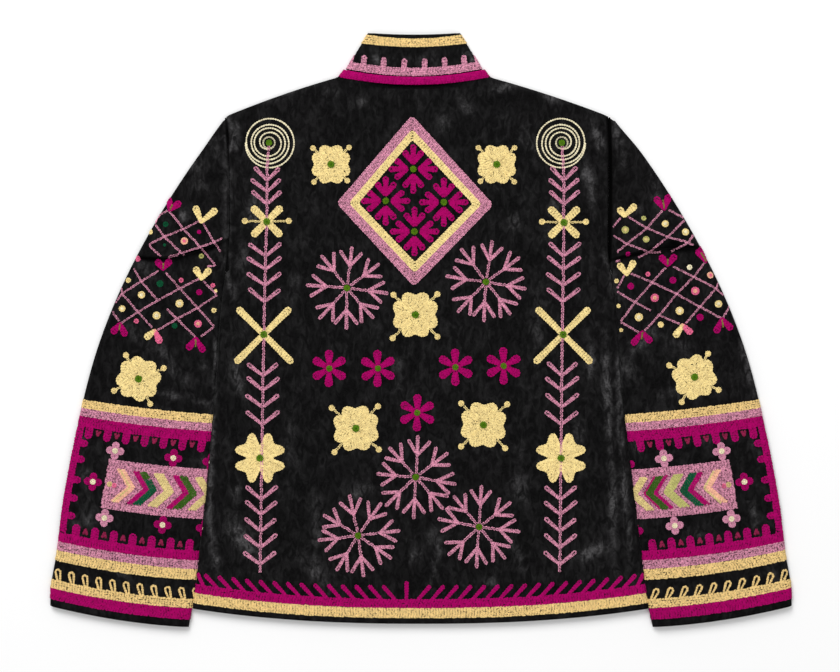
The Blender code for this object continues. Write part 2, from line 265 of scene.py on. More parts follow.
def body_chart(upper):
    def chart(u, v):
        middle = body_middle(v)
        side = np.where(u < middle, -1.0, 1.0)
        away = np.abs(u - middle)
        flat = body_half_width(v) - SEAM / 2 - TURN_DEPTH
        past = away - flat
        out, side_lift = round_edge(past, TURN_DEPTH)
        under_arm = below_armpit(v)
        side_lift = 1 - under_arm * (1 - side_lift)
        away = np.where(past > 0, flat + blend(past / TURN_STRETCH, out, under_arm), away)
        top_y = panel_top(away, upper)
        past = v - (top_y - TURN_DEPTH)
        up, top_lift = round_edge(past, TURN_DEPTH)
        over = beside_neck(away)
        y = np.where(past > 0, top_y - TURN_DEPTH + blend(past / TURN_STRETCH, up, over), v)
        lift = side_lift * (1 - over * (1 - top_lift))
        x = middle + side * away
        if upper:
            groove = armhole_groove(v, away - SHOULDER_WIDTH, BODY_GROOVE)
            top = LAID_HEIGHT + crease_height(x, y) - groove
            return np.stack([x, y, blend(SEAM_LEVEL, top, lift)], axis=-1)
        return np.stack([x, y, SEAM_LEVEL * (1 - lift)], axis=-1)

    return chart


def body_net(upper, shares, steps):
    """Places over a body panel, as rows from the hem to the top edge."""
    share, along = np.meshgrid(shares, np.linspace(0, 1, steps))
    away = np.abs(share)
    top = panel_top(away * SHOULDER_WIDTH, upper)
    over = beside_neck(away * SHOULDER_WIDTH)
    turned_top = top + TURN_DEPTH * (TURN_STRETCH - 1) + UNDER_BAND * TURN_STRETCH * (1 - over)
    v = blend(hem_y(away), turned_top, along)
    reach = body_half_width(v) - SEAM / 2 + TURN_DEPTH * (TURN_STRETCH - 1)
    return body_middle(v) + share * reach, v


# Sleeves


def line_height(line, share):
    return blend(line.outer_y, line.inner_y, share) + line.bow * 4 * share * (1 - share)


def lap_height(side, share, y):
    """How far the lapped bend lifts the upper layer, at a share of the way to the inner edge."""
    share = np.clip(share, 0, 1)
    above = y - line_height(SLEEVE_LAP[side], share)
    ends = blend(LAP_AT_ENDS, 1.0, np.sin(np.pi * share))
    over = LAP_RISE * ends * np.clip(1 - above / LAP_REACH, 0, 1.0) ** 2
    tucked = -LAP_TUCK * np.clip(1 + above / TUCK_REACH, 0, 1)
    return blend(tucked, over, smooth_step(above, -LAP_STEP, -0.4))


def sleeve_edges(v, side):
    """Where the flat part of a sleeve ends on each side, and how deep its turned edges are."""
    reach = sleeve_reach(v) - side * TIP_SHIFT * smooth_step(v, TIP_SHIFT_LOW, TIP_SHIFT_HIGH)
    gap = blend(SEAM / 2, SLEEVE_CLEARANCE, smooth_step(v, ARMPIT + 8, ARMPIT))
    inner = body_half_width(v) + gap
    depth = np.minimum(TURN_DEPTH, (reach - inner) / 3)
    return inner + depth, reach - depth, depth


def sleeve_chart(side):
    def chart(u, v):
        middle = body_middle(v)
        away = side * (u - middle)
        inner, outer, depth = sleeve_edges(v, side)
        outer = outer - side * middle
        out, out_lift = round_edge(away - outer, depth)
        back, in_lift = round_edge(inner - away, depth)
        under_arm = below_armpit(v)
        in_lift = 1 - under_arm * (1 - in_lift)
        back = blend((inner - away) / TURN_STRETCH, back, under_arm)
        x = np.where(away > outer, outer + out, np.where(away < inner, inner - back, away))
        lift = np.where(away > outer, out_lift, in_lift)
        past = inner - x
        beneath = (lift < 0) & (past > 0)
        turned, low_lift = round_edge(past, depth)
        lift = np.where(beneath, -1 + under_arm * (1 - low_lift), lift)
        turned = blend(past / TURN_STRETCH, turned, under_arm)
        x = np.where(beneath, inner - turned, x)
        share = (outer + depth - x) / (outer - inner + 2 * depth)
        x = middle + side * x
        groove = armhole_groove(v, (share - 1) * UPPER_SLEEVE_WIDTH, SLEEVE_GROOVE)
        top = LAID_HEIGHT + crease_height(x, v) + lap_height(side, share, v) - groove
        return np.stack([x, v, face_height(top, lift)], axis=-1)

    return chart


def sleeve_net(side, across, beneath, lines):
    """Places round a sleeve, as rings that start at the inner edge and go over the top."""
    top = np.linspace(0, 1, across)
    share = np.concatenate([1 - top, np.linspace(0, 1, beneath)[1:]])
    v = np.array([line_height(line, share) for line in lines])
    inner, outer, depth = sleeve_edges(v, side)
    turn = depth * TURN_STRETCH
    outer = outer - side * body_middle(v)
    ahead = np.arange(len(share)) < across
    over = blend(outer + turn, inner - turn, share)
    under = blend(outer + turn, 2 * outer - inner + 3 * turn, share)
    u = np.where(ahead, over, under)
    return body_middle(v) + side * u, v


def sleeve_lines(side):
    lap = SLEEVE_LAP[side]
    foot = SleeveLine(lap.outer_y - LAP_STEP, lap.inner_y - LAP_STEP, lap.bow)
    marks = (SLEEVE_TIP, lap, foot, SLEEVE_PIT, SLEEVE_ELBOW, SLEEVE_CUFF)
    lines = [SLEEVE_TIP]
    for start, end, count in zip(marks, marks[1:], SLEEVE_STEPS):
        lines += [blend_lines(start, end, k / count) for k in range(1, count + 1)]
    return lines


# Collar and neck band


def ring_chart(lower, upper, deep, bead):
    """A band round the neck: u runs from the middle of the back, v up from its lower line."""
    t = np.linspace(0, 1, 80)
    x, y = neck_front(blend_lines(lower, upper, 0.5), t)
    front_length = np.concatenate([[0], np.cumsum(np.hypot(np.diff(x), np.diff(y)))])

    def chart(u, v):
        line = blend_lines(lower, upper, v / deep)
        side = np.where(u < 0, -1.0, 1.0)
        flat = line.half_width - TURN_DEPTH
        out, lift = round_edge(np.abs(u) - flat, TURN_DEPTH)
        x = np.where(np.abs(u) > flat, flat + out, np.abs(u))
        y = line.fold_y - line.back_drop * (1 - np.clip(x / line.half_width, 0, 1) ** 2)
        in_front = np.abs(u) > flat + TURN_DEPTH * TURN_STRETCH
        x_front, y_front = neck_front(line, np.interp(line.half_width - x, front_length, t))
        x, y = np.where(in_front, x_front, x), np.where(in_front, y_front, y)
        crown = np.clip(4 * v / deep * (1 - v / deep), 0, 1) ** 0.5
        raised = LAID_HEIGHT + BAND_BEAD * bead * crown
        return np.stack([body_middle(y) + side * x, y, face_height(raised, lift)], axis=-1)

    return chart, front_length[-1]


def ring_net(lower, upper, deep, front_length, steps, rows):
    """Places right round a band, from one front edge to the other."""
    share, along = np.meshgrid(np.linspace(-1, 1, steps), np.linspace(0, 1, rows))
    half = blend(lower.half_width, upper.half_width, along)
    reach = half - TURN_DEPTH + 2 * TURN_DEPTH * TURN_STRETCH + front_length - TURN_DEPTH
    return share * reach, along * deep


# Meshes


def lay(chart, u, v, height=0.0, facing=1):
    """Points at a height above the velvet at each place of a chart."""
    here = chart(u, v)
    across = chart(u + CHART_STEP, v) - chart(u - CHART_STEP, v)
    up = chart(u, v + CHART_STEP) - chart(u, v - CHART_STEP)
    normal = np.cross(across, up) * facing
    normal /= np.maximum(np.linalg.norm(normal, axis=-1, keepdims=True), 1e-9)
    upright = np.abs(normal[..., 2:])
    inset = blend(SIDE_INSET, INSET, upright)
    points = here + normal * (np.expand_dims(height, -1) - inset)
    points[..., 2] = np.maximum(points[..., 2], 0.0)
    return points


def add_mesh(name, points, corners, sizes):
    """A mesh from points in millimetres and flat lists of face corners and face sizes."""
    mesh = bpy.data.meshes.new(name)
    mesh.vertices.add(len(points))
    mesh.vertices.foreach_set("co", (np.asarray(points) * MM).ravel())
    mesh.loops.add(len(corners))
    mesh.loops.foreach_set("vertex_index", np.asarray(corners, np.int32))
    mesh.polygons.add(len(sizes))
    starts = np.concatenate([[0], np.cumsum(sizes)[:-1]])
    mesh.polygons.foreach_set("loop_start", starts.astype(np.int32))
    mesh.polygons.foreach_set("loop_total", np.asarray(sizes, np.int32))
    mesh.update(calc_edges=True)
    mesh.validate()
    mesh.shade_smooth()
    piece = bpy.data.objects.new(name, mesh)
    bpy.context.scene.collection.objects.link(piece)
    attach(piece, "root")
    return piece


def add_wall(name, chart, net, facing=1):
    """A thin closed wall of cloth over a net of places, with a rim along its cut edges."""
    u, v = net
    rows, columns = u.shape
    outer = lay(chart, u, v, 0.0, facing).reshape(-1, 3)
    inner = lay(chart, u, v, -CLOTH, facing).reshape(-1, 3)
    count = rows * columns
    index = np.arange(count).reshape(rows, columns)
    near, far = index[:-1], index[1:]
    quads = np.stack([near[:, :-1], near[:, 1:], far[:, 1:], far[:, :-1]], -1).reshape(-1, 4)
    border = np.concatenate([index[0], index[1:, -1], index[-1, -2::-1], index[-2:0:-1, 0]])
    after = np.roll(border, -1)
    rim = np.stack([after, border, border + count, after + count], -1)
    faces = np.concatenate([quads, quads[:, ::-1] + count, rim])
    if facing < 0:
        faces = faces[:, ::-1]
    return add_mesh(name, np.concatenate([outer, inner]), faces.ravel(), np.full(len(faces), 4))


# Chain stitch. A link is two strands that part, swell and close again over the next link's start.
# Each station of a strand has a place along the link, a distance from its middle and a half width,
# in shares of the link's length and the row's width, and a height in shares of the thread's.

LINK = 3.2
THREAD = 1.0
STRAND_FOOT = 0.5
LINK_SLANT = 0.22
# How far the strands of a link may part, in shares of the row's width
PARTING = {"mauve": 0.10, "yellow": 0.06, "gold": 0.12, "magenta": 0.05}
# How far a link may stray to the side, in shares of the row's width
STRAY = 0.07
# How unevenly links are made, as shares of their length, width and height
LENGTH_SPREAD = 0.11
WIDTH_SPREAD = 0.06
HEIGHT_SPREAD = 0.1
# What a steady row keeps of its straying, how deep links are sunk, and the shortest row worked
STEADY_STRAY = 0.35
SUNK = 0.12
SHORTEST_ROW = 0.4
# How far ahead and behind a path is looked at to find its direction
LOOK = 0.3


def link_shape(near, far, near_half, far_half, end=0.09, end_height=0.35):
    """Stations of a strand: its start, near its start, near its end and its end."""
    return (
        (-0.14, 0.05, 0.0, 0.15),
        (0.20, near, near_half, 0.95),
        (0.74, far, far_half, 1.0),
        (1.14, end, 0.0, end_height),
    )


OPEN = link_shape(0.23, 0.31, 0.15, 0.17)
CLOSE = link_shape(0.22, 0.28, 0.22, 0.24, end=0.10)
LOOSE = link_shape(0.23, 0.29, 0.19, 0.22, end_height=0.3)


def strand_template(stations):
    """Points (along, aside, height) of one link's two strands, and the faces between them.

    A strand has no faces beneath, where it is sunk in the cloth.
    """
    points, faces = [], []
    for side in (-1, 1):
        first = len(points)
        for t, aside, half, high in stations:
            if half == 0:
                points.append((t, side * aside, high))
            else:
                points.append((t, side * aside - half, high * STRAND_FOOT))
                points.append((t, side * aside, high))
                points.append((t, side * aside + half, high * STRAND_FOOT))
        a, b, c = range(first + 1, first + 4)
        d, e, f = range(first + 4, first + 7)
        start, end = first, first + 7
        faces += [(start, b, a), (start, c, b)]
        faces += [(a, b, e), (a, e, d), (b, c, f), (b, f, e)]
        faces += [(end, d, e), (end, e, f)]
    return np.array(points), np.array(faces)


TEMPLATES = {style: strand_template(style) for style in (OPEN, CLOSE, LOOSE)}
# Close rows of mauve are worked more loosely
STYLES = {("mauve", CLOSE): LOOSE}
irregular = np.random.default_rng(5)


class Embroidery:
    """Rows of chain stitch on one piece of cloth, gathered by the colour of their thread."""

    def __init__(self, name, chart, facing=1):
        self.name = name
        self.chart = chart
        self.facing = facing
        self.links = {}

    def row(self, colour, path, width, style=OPEN, closed=False, raised=0.0, link=LINK, steady=False):
        """A row of links along a path; a steady one keeps to it closely."""
        stray = STEADY_STRAY if steady else 1.0
        style = STYLES.get((colour, style), style)
        path = np.asarray(path, float)
        if closed:
            path = np.vstack([path, path[:1]])
        length = np.concatenate([[0], np.cumsum(np.hypot(*np.diff(path, axis=0).T))])
        if length[-1] < SHORTEST_ROW:
            return
        count = max(1, round(length[-1] / link))
        pitch = length[-1] / count
        template, faces = TEMPLATES[style]
        loose = 1 + LENGTH_SPREAD * stray * irregular.standard_normal((count, 1))
        phase = irregular.uniform(-0.5, 0.5)
        along = (np.arange(count)[:, None] + phase + template[:, 0] * loose) * pitch
        if closed:
            ahead, behind = (along + LOOK) % length[-1], (along - LOOK) % length[-1]
            along = along % length[-1]
        else:
            along = np.clip(along, -0.12 * pitch, length[-1] + 0.12 * pitch)
            ahead = np.minimum(along + LOOK, length[-1])
            behind = np.clip(along - LOOK, 0, length[-1] - LOOK)
        at, end, start = (
            np.stack([np.interp(distance, length, path[:, k]) for k in (0, 1)])
            for distance in (along, ahead, behind)
        )
        lean = end - start
        size = np.maximum(np.hypot(*lean), 1e-6)
        aside = template[:, 1] * width * (1 + WIDTH_SPREAD * irregular.standard_normal((count, 1)))
        parting = PARTING.get(colour, 0.08) * width * irregular.uniform(-0.3, 1.0, (count, 1))
        aside = aside + template[:, 1] * 2 * parting
        slant = LINK_SLANT * stray * width * irregular.standard_normal((count, 1))
        aside = aside + (template[:, 0] - 0.5) * slant * min(1.0, count / 4)
        aside = aside + STRAY * stray * width * irregular.standard_normal((count, 1))
        u = at[0] - lean[1] / size * aside
        v = at[1] + lean[0] / size * aside
        uneven = 1 + HEIGHT_SPREAD * irregular.standard_normal((count, 1))
        high = template[:, 2] * THREAD * uneven + raised - SUNK
        self.links.setdefault(colour, []).append((u, v, high, faces))

    def ring(self, colour, path, width, **how):
        """A closed row of close links."""
        self.row(colour, path, width, CLOSE, closed=True, **how)

    def make(self):
        """One mesh for each colour of thread."""
        pieces = []
        for colour, batches in self.links.items():
            u, v, high = (np.concatenate([batch[k].ravel() for batch in batches]) for k in range(3))
            faces, first = [], 0
            for batch_u, _, _, template_faces in batches:
                count, size = batch_u.shape
                starts = first + np.arange(count)[:, None, None] * size
                faces.append((template_faces[None] + starts).reshape(-1, 3))
                first += count * size
            faces = np.concatenate(faces)
            if self.facing < 0:
                faces = faces[:, ::-1]
            points = lay(self.chart, u, v, high, self.facing)
            piece = add_mesh(f"{self.name}_{colour}", points, faces.ravel(), np.full(len(faces), 3))
            finish_piece(piece, colour)
            pieces.append(piece)
        return pieces


# Shapes filled with rows of chain stitch

# Widths of rows: in filled shapes, in stems, in the spirals and round the twigs
FILL = 2.35
LINE = 3.3
FINE = 1.75
TWIG = 1.9
# From one ring to the next within a shape, as a share of the rows' width, so that they overlap
RING_STEP = 0.9
PETAL_STEP = 0.94
# The smallest rings worked, and how sharp a petal's end may become
SMALLEST_RING = 0.5
SMALLEST_END = 0.15
SHARPEST_END = 0.1


def around(radius, count):
    angle = np.linspace(0, 2 * np.pi, count, endpoint=False)
    return np.stack([radius * np.cos(angle), radius * np.sin(angle)], axis=-1)


def soften(path, reach):
    """A closed path with its corners rounded by averaging neighbouring points."""
    path = np.asarray(path, float)
    return sum(np.roll(path, k, axis=0) for k in range(-reach, reach + 1)) / (2 * reach + 1)


def turned(points, angle):
    """Points turned by an angle in degrees."""
    c, s = math.cos(math.radians(angle)), math.sin(math.radians(angle))
    return np.asarray(points, float) @ np.array([[c, s], [-s, c]])


def dot(work, colour, centre, radius, width=2.1, raised=0.0):
    """A disc worked in rings from its rim inwards."""
    centre = np.asarray(centre, float)
    inset = width / 2
    while radius - inset > SMALLEST_RING:
        ring = around(radius - inset, 20) + centre
        work.ring(colour, ring, width, raised=raised, link=1.8, steady=True)
        inset += width * RING_STEP
    work.row(colour, [centre - (0.6, 0), centre + (0.6, 0)], width, CLOSE, raised=raised, steady=True)


def petal_outline(length, start_radius, end_radius):
    """The outline of a petal along +X: two round ends and the straight sides that touch both."""
    lean = math.asin(np.clip((start_radius - end_radius) / max(length, 1e-6), -1, 1))
    end = np.linspace(-np.pi / 2 + lean, np.pi / 2 - lean, 13)
    start = np.linspace(np.pi / 2 - lean, 3 * np.pi / 2 + lean, 9)
    end = np.stack([length + end_radius * np.cos(end), end_radius * np.sin(end)], axis=-1)
    start = np.stack([start_radius * np.cos(start), start_radius * np.sin(start)], axis=-1)
    return np.concatenate([end, start])


def petal(work, colour, start, end, start_radius, end_radius, width=FILL, raised=0.0):
    """A petal or bar between the centres of its two round ends, worked in rings to its middle."""
    start, end = np.asarray(start, float), np.asarray(end, float)
    length = np.hypot(*(end - start))
    angle = math.degrees(math.atan2(end[1] - start[1], end[0] - start[0]))
    inset = width / 2
    while max(end_radius, start_radius) - inset > SMALLEST_END:
        ends = max(end_radius - inset, SHARPEST_END)
        starts = max(start_radius - inset, SHARPEST_END)
        shift = max(inset - start_radius, 0.0)
        if length - shift < SMALLEST_RING:
            break
        outline = petal_outline(length - shift, starts, ends) + (shift, 0)
        path = turned(outline, angle) + start
        work.ring(colour, path, width, raised=raised, steady=inset < width)
        inset += width * PETAL_STEP
    if inset - max(start_radius, end_radius) < 0.45 * width:
        work.row(colour, [start, end], width, CLOSE, raised=raised)


def lobed(work, centre, table, size, turn=0.0):
    """A flower from its radius at each angle of an eighth turn, mirrored and repeated."""
    angles, radii = np.array(table, float).T
    angles = np.concatenate([angles, 90 - angles[-2::-1]])
    radii = np.concatenate([radii, radii[-2::-1]]) * size
    turns = np.linspace(0, 360, 240, endpoint=False)
    reach = np.interp(turns % 90, angles, radii)
    outermost = radii.max()
    inset = FILL / 2
    while inset < outermost - 2.0:
        share = (outermost - inset) / outermost
        ring = np.stack([np.cos(np.radians(turns)), np.sin(np.radians(turns))], -1)
        path = ring * (reach * share)[:, None]
        work.ring("yellow", turned(path, turn) + centre, FILL, steady=inset < FILL)
        inset += FILL * RING_STEP


# Motifs

# Angle and radius over an eighth of each flower, from the middle of a side to the corner
CLOVER = (
    (0, 13.1), (8.3, 17.4), (11.5, 23.2), (13.5, 27.8), (17, 30.2), (22, 30.5), (28, 29),
    (34, 26.1), (39, 24.4), (45, 23.5),
)
EIGHT_LOBES = (
    (0, 22.8), (6, 23.8), (12, 25.6), (18, 27.2), (22, 27.8), (28, 27.9), (33, 27.2), (39, 24.8),
    (43, 21.8), (45, 19.8),
)

# Which way the four stalks of an eight-lobed flower point
STALK_ANGLES = (43, 138, 226, 315)


def eye(work, centre, radius=4.3):
    """The green middle of a flower: two small rings round a dark point."""
    for inset, width in ((1.2, 2.5), (2.7, 1.9)):
        ring = around(radius - inset, 16) + centre
        work.ring("green", ring, width, raised=0.95, link=1.9, steady=True)
    x, y = centre
    work.row("leaf", [(x - 0.8, y + 0.2), (x + 0.8, y - 0.2)], 1.4, CLOSE, raised=1.1)


# How far the spiral lies from its middle at each quarter turn; it starts at its foot, under
# the stem, and goes up its outer side
SPIRAL_REACH = (
    6.8, 11.0, 12.0, 14.2, 15.4, 17.3, 17.0, 18.9, 19.6,
    20.6, 20.8, 23.2, 24.0, 26.4, 28.2, 29.2, 29.0, 26.9,
)


def spiral(work, centre, side):
    """A round spiral of thin thread; the one on the right is the left one's mirror image."""
    ring = around(SPIRAL_REACH[0], 36) + centre
    work.row("cream", ring, FINE, closed=True, link=2.6, steady=True)
    turn = np.linspace(0, len(SPIRAL_REACH) - 1, 440)
    reach = np.interp(turn, range(len(SPIRAL_REACH)), SPIRAL_REACH)
    # Averaged along the thread, so that it has no corners at the quarter turns
    reach = np.convolve(np.pad(reach, 10, mode="edge"), np.ones(21) / 21, mode="valid")
    angle = (turn - 1) * np.pi / 2
    path = np.stack([side * reach * np.cos(angle), reach * np.sin(angle)], axis=-1)
    work.row("cream", path + centre, FINE, CLOSE, link=2.8, steady=True)
    eye(work, centre, 3.8)


def twig(work, colour, start, end, tip=1.65):
    """A twig that ends in a small open loop."""
    start, end = np.asarray(start, float), np.asarray(end, float)
    angle = math.degrees(math.atan2(end[1] - start[1], end[0] - start[0]))
    outline = petal_outline(np.hypot(*(end - start)), 0.8, tip)
    work.ring(colour, turned(outline, angle) + start, TWIG, link=2.6, steady=True)
    work.row(colour, [start, blend(start, end, 0.84)], TWIG, CLOSE)


def fern(work, stem, side):
    """A stem with pairs of twigs that reach up and out from it."""
    middles, heights = np.array(stem, float).T
    y = np.linspace(heights[0], heights[-1], 60)
    x = np.interp(-y, -heights, middles)
    path = np.stack([x, y], axis=-1)
    down = heights[0] - y
    salmon_part = (down > SALMON_FROM) & (down < SALMON_TO)
    work.row("mauve", path, LINE, raised=0.35)
    work.row("salmon", path[salmon_part], LINE, CLOSE, raised=0.9)
    for tip_y, outer, inner in TWIGS:
        middle = np.interp(-(tip_y - 12), -heights, middles)
        for away, reach in ((side * 1.4, side * outer), (-side * 1.4, -side * inner)):
            sway = irregular.uniform(-0.8, 0.8)
            start = (middle + away, tip_y - 12.5)
            twig(work, "mauve", start, (middle + reach + sway, tip_y + sway))


def crossed_petals(work, centre, reach, radius, arms):
    """Four bars on the diagonals, and dots on thin arms to the sides where there are arms.

    Reach is how far the upper and the lower bars go each way.
    """
    for x, y in ((1, 1), (-1, 1), (-1, -1), (1, -1)):
        span = reach[0] if y > 0 else reach[1]
        end = (centre[0] + x * span, centre[1] + y * span)
        petal(work, "yellow", centre, end, radius * 0.8, radius)
    for side in (-1, 1):
        if arms:
            end = (centre[0] + side * arms, centre[1] + 0.8)
            work.row("yellow", [centre, end], 2.6)
            dot(work, "yellow", end, 3.6)
    eye(work, centre)


def clover(work, centre):
    lobed(work, centre, CLOVER, 1.0)
    eye(work, centre)


def eight_lobed(work, centre, size, turn, stalks):
    """A square yellow flower with eight lobes, and a dot on a stalk from each corner."""
    for corner, length in zip(STALK_ANGLES, stalks):
        reach = turned([(17 * size, 0), (length - 2, 0), (length, 0)], corner + turn) + centre
        work.row("yellow", reach[:2], 3.0)
        dot(work, "yellow", reach[2], 3.6 * min(1.0, size + 0.05), 1.9)
    lobed(work, centre, EIGHT_LOBES, size, turn)
    eye(work, centre)


def six_petals(work, centre):
    for k in range(6):
        start, end = turned([(4.5, 0), (16.8, 0)], 90 + 60 * k + irregular.uniform(-3, 3)) + centre
        petal(work, "magenta", start, end, 2.6, 5.0)
    eye(work, centre, 3.6)


# Angle from the branch, and length, of each twig beyond its fork
SNOWFLAKE_TWIGS = ((-37, 20.0), (0, 21.8), (37, 20.0))


def snowflake(work, centre, branches):
    """Branches that fork into three twigs, at the angles given in degrees."""
    for angle in branches:
        fork = irregular.uniform(24.5, 27.5)
        work.row("mauve", turned([(3.5, 0), (fork, 0)], angle) + centre, LINE)
        start = turned([(fork - 1.5, 0)], angle)[0] + centre
        for spread, length in SNOWFLAKE_TWIGS:
            swing = spread + irregular.uniform(-3, 3)
            end = start + turned([(length * irregular.uniform(0.96, 1.04), 0)], angle + swing)[0]
            twig(work, "mauve", start, end, 1.25)
    eye(work, centre, 3.9)


# Start, end and end radius of each lobe of one petal, along +X
FAN_LOBES = (
    ((6.0, 0.0), (25.2, 0.0), 3.7),
    ((6.5, 0.9), (18.4, 9.0), 3.8),
    ((6.5, -0.9), (18.4, -9.0), 3.8),
    ((6.5, 0.0), (13.4, 0.0), 5.0),
)


def fan_flower(work, centre):
    """Four petals of three lobes each, which leave thin black gaps on the diagonals."""
    for angle in (0, 90, 180, 270):
        for start, end, wide in FAN_LOBES:
            a, b = turned([start, end], angle) + centre
            petal(work, "magenta", a, b, 1.5, wide)
    eye(work, centre, 3.9)


def diamond(work):
    """A frame of five mauve and four yellow rows round four fan flowers."""
    outer, inner = np.array(DIAMOND_OUTER), np.array(DIAMOND_INNER)
    colours = ["mauve"] * 5 + ["yellow"] * 4
    for k, colour in enumerate(colours):
        corners = blend(outer, inner, (k + 0.5) / len(colours))
        path = [
            blend(a, b, t)
            for a, b in zip(corners, np.roll(corners, -1, axis=0))
            for t in np.linspace(0, 1, 90, endpoint=False)
        ]
        work.ring(colour, soften(path, 3), 2.5, steady=k in (0, 4, 5, 8))
    for centre in DIAMOND_FLOWERS:
        fan_flower(work, centre)


def small_flower(work, colour, centre, turn=0.0):
    for angle in (0, 90, 180, 270):
        end = turned([(6.1, 0)], angle + turn)[0] + centre
        dot(work, colour, end, 4.5, 1.9)
    dot(work, "cream", centre, 3.4, 1.7, raised=1.0)


# Where each motif lies on the back; the left one comes first in each pair

SPIRALS = ((-176.5, 218.5), (163.5, 218.5))
STEMS = (
    ((-176.5, 218.5), (-178.5, 190), (-179, 134.5), (-180.5, 80), (-182, 22), (-187, -280.5)),
    ((163.5, 218.5), (165.5, 190), (166, 134.5), (165.5, 80), (164.5, 30), (161, -280.5)),
)
# A short part of each stem is salmon, this far below its top
SALMON_FROM, SALMON_TO = 21.0, 31.0
# Height of each pair of twigs' tips, and how far they reach outwards and inwards
TWIGS = (
    (188.5, 13.6, 13.6), (175.5, 16.1, 14.6), (161, 16.2, 15.1), (100.5, 17.4, 16.0),
    (85, 18.7, 17.0), (66.5, 18.5, 17.0), (47.5, 17.6, 17.1), (-38.5, 16.0, 15.9),
    (-55.5, 17.4, 17.2), (-75, 17.4, 17.2), (-95, 17.4, 17.2), (-182, 16.4, 16.6),
    (-199.5, 16.8, 16.6), (-219, 17.0, 16.8), (-238, 17.0, 16.8), (-257.5, 17.0, 16.8),
)
# How far up and how far down the bars reach, their radius, and how long the side arms are
SMALL_CROSS = ((14.4, 14.0), 4.5, 25.5)
BIG_CROSS = ((28.0, 30.4), 4.2, 0.0)
SIDE_DOTTED = ((-179, 127), (166, 126))
BIG_CROSSES = ((-182.5, -4), (165, -4))
CLOVERS = ((-187, -147.5), (162.5, -147.5))
# Place, size, turn and lengths of the four stalks
EIGHT_LOBED = (
    ((-104.5, 193.5), 0.86, 0, (28.7, 28.2, 28.6, 26.8)),
    ((88, 193.5), 0.86, 0, (28.2, 28.8, 27.4, 28.6)),
    ((-6.5, 19), 1.0, 0, (34.9, 34.3, 38.0, 36.3)),
    ((-75.5, -113), 1.0, 2, (36.2, 36.8, 37.3, 36.1)),
    ((72.5, -109), 1.0, -2, (36.6, 35.8, 36.1, 37.0)),
)
SLEEVE_FLOWERS = {
    -1: ((-328, -55.5), 0.95, -20, (31.8, 31.0, 31.6, 32.2)),
    1: ((317.5, -53.5), 0.95, 17, (31.4, 32.2, 32.6, 31.8)),
}
# The diamond's corners, from its top clockwise
DIAMOND_OUTER = ((-10.5, 250.5), (84, 146.5), (-8, 51.5), (-98, 148.5))
DIAMOND_INNER = ((-10, 222), (60, 148), (-7, 80), (-72.5, 148.5))
DIAMOND_FLOWERS = ((-9, 188), (-41, 151), (26.5, 149.5), (-7.5, 115.5))
SNOWFLAKES = ((-86, 50), (75.5, 57), (-6, -169.5), (-73, -237.5), (67.5, -227.5))
# The angles of each snowflake's branches
BRANCHES = (
    (82, 36, -7, -50, -91, -131, 176, 127),
    (81, 35, -10, -52, -94, -134, 173, 126),
    (86, 37, -11, -49, -93, -137, 176, 132),
    (102, 55, 7, -34, -82, -122, -172, 149),
    (87, 37, -7, -50, -95, -137, 169, 130),
)
SIX_PETALLED = ((-106.5, -43.5), (-50, -43.5), (40, -42), (96, -40.5), (-4.5, -95))

# The lattice on each sleeve, with -1 for the left one: lines of open chain, then dots, then
# hearts and hanging petals
LATTICE = {
    -1: (
        ((-293.5, 140.5), (-275.5, 118.5), (-256.5, 98), (-238.5, 76)),
        ((-309, 124.5), (-298, 109.5), (-277.5, 90.5), (-275, 88)),
        ((-316.5, 100), (-301.5, 86.5)),
        ((-316.5, 100), (-298, 109.5), (-275.5, 118.5), (-254.5, 129)),
        ((-293, 85.5), (-277.5, 90.5), (-256, 97.5), (-240, 103), (-229.5, 108)),
        ((-253, 125.5), (-240, 103), (-232, 91.5)),
        ((-309, 124.5), (-308, 130), (-303.5, 135), (-294, 140)),
        ((-248.5, 75), (-238.5, 76)),
        ((-304, 70.5), (-325, 57.5), (-347, 43.5), (-356.5, 31.5)),
        ((-297, 68.5), (-281, 50.5), (-260, 27.5), (-240, 5)),
        ((-257.5, 61), (-281, 49), (-305.5, 35.5), (-328.5, 22), (-348.5, 9)),
        ((-333.5, 73), (-325, 57.5), (-305.5, 35.5)),
        ((-296, 26.5), (-283.5, 14), (-262, -7)),
        ((-348, 50), (-347, 43.5), (-328.5, 22), (-311, 2.5)),
        ((-359, 24), (-350.5, 11.5)),
        ((-253, 58), (-236.5, 42)),
        ((-236.5, 42), (-257.5, 28), (-283.5, 14), (-306, 1)),
        ((-240, 5), (-257.5, -8)),
    ),
    1: (
        ((287, 141), (305.5, 131.5)),
        ((280.5, 140), (262, 119.5), (239, 101), (227, 91.5)),
        ((306, 129), (286.5, 109.5), (264.5, 91.5), (251.5, 85)),
        ((316.5, 112.5), (309.5, 102), (290.5, 92.5)),
        ((240, 133), (262, 119.5), (286.5, 109), (309.5, 103), (317.5, 99)),
        ((222, 111.5), (239, 101), (264.5, 91.5), (278.5, 91.5)),
        ((232.5, 132), (222.5, 120.5)),
        ((225, 80.5), (231.5, 82)),
        ((291.5, 75.5), (316.5, 63), (342.5, 49.5), (351.5, 41.5)),
        ((284.5, 74), (268.5, 56.5), (248.5, 33.5), (232, 11)),
        ((329.5, 79.5), (316.5, 63), (297, 43), (277, 18.5), (258.5, -1)),
        ((345.5, 56), (342.5, 49.5), (324, 28), (307, 8.5)),
        ((243, 67), (268.5, 56.5), (297, 43), (324, 28), (348.5, 15)),
        ((236.5, 65.5), (227, 47.5)),
        ((227.5, 46), (248.5, 33.5), (267, 23.5)),
        ((274.5, 19.5), (301, 7.5)),
        ((232, 10.5), (253, -1.5)),
        ((358.5, 28.5), (350.5, 15)),
    ),
}
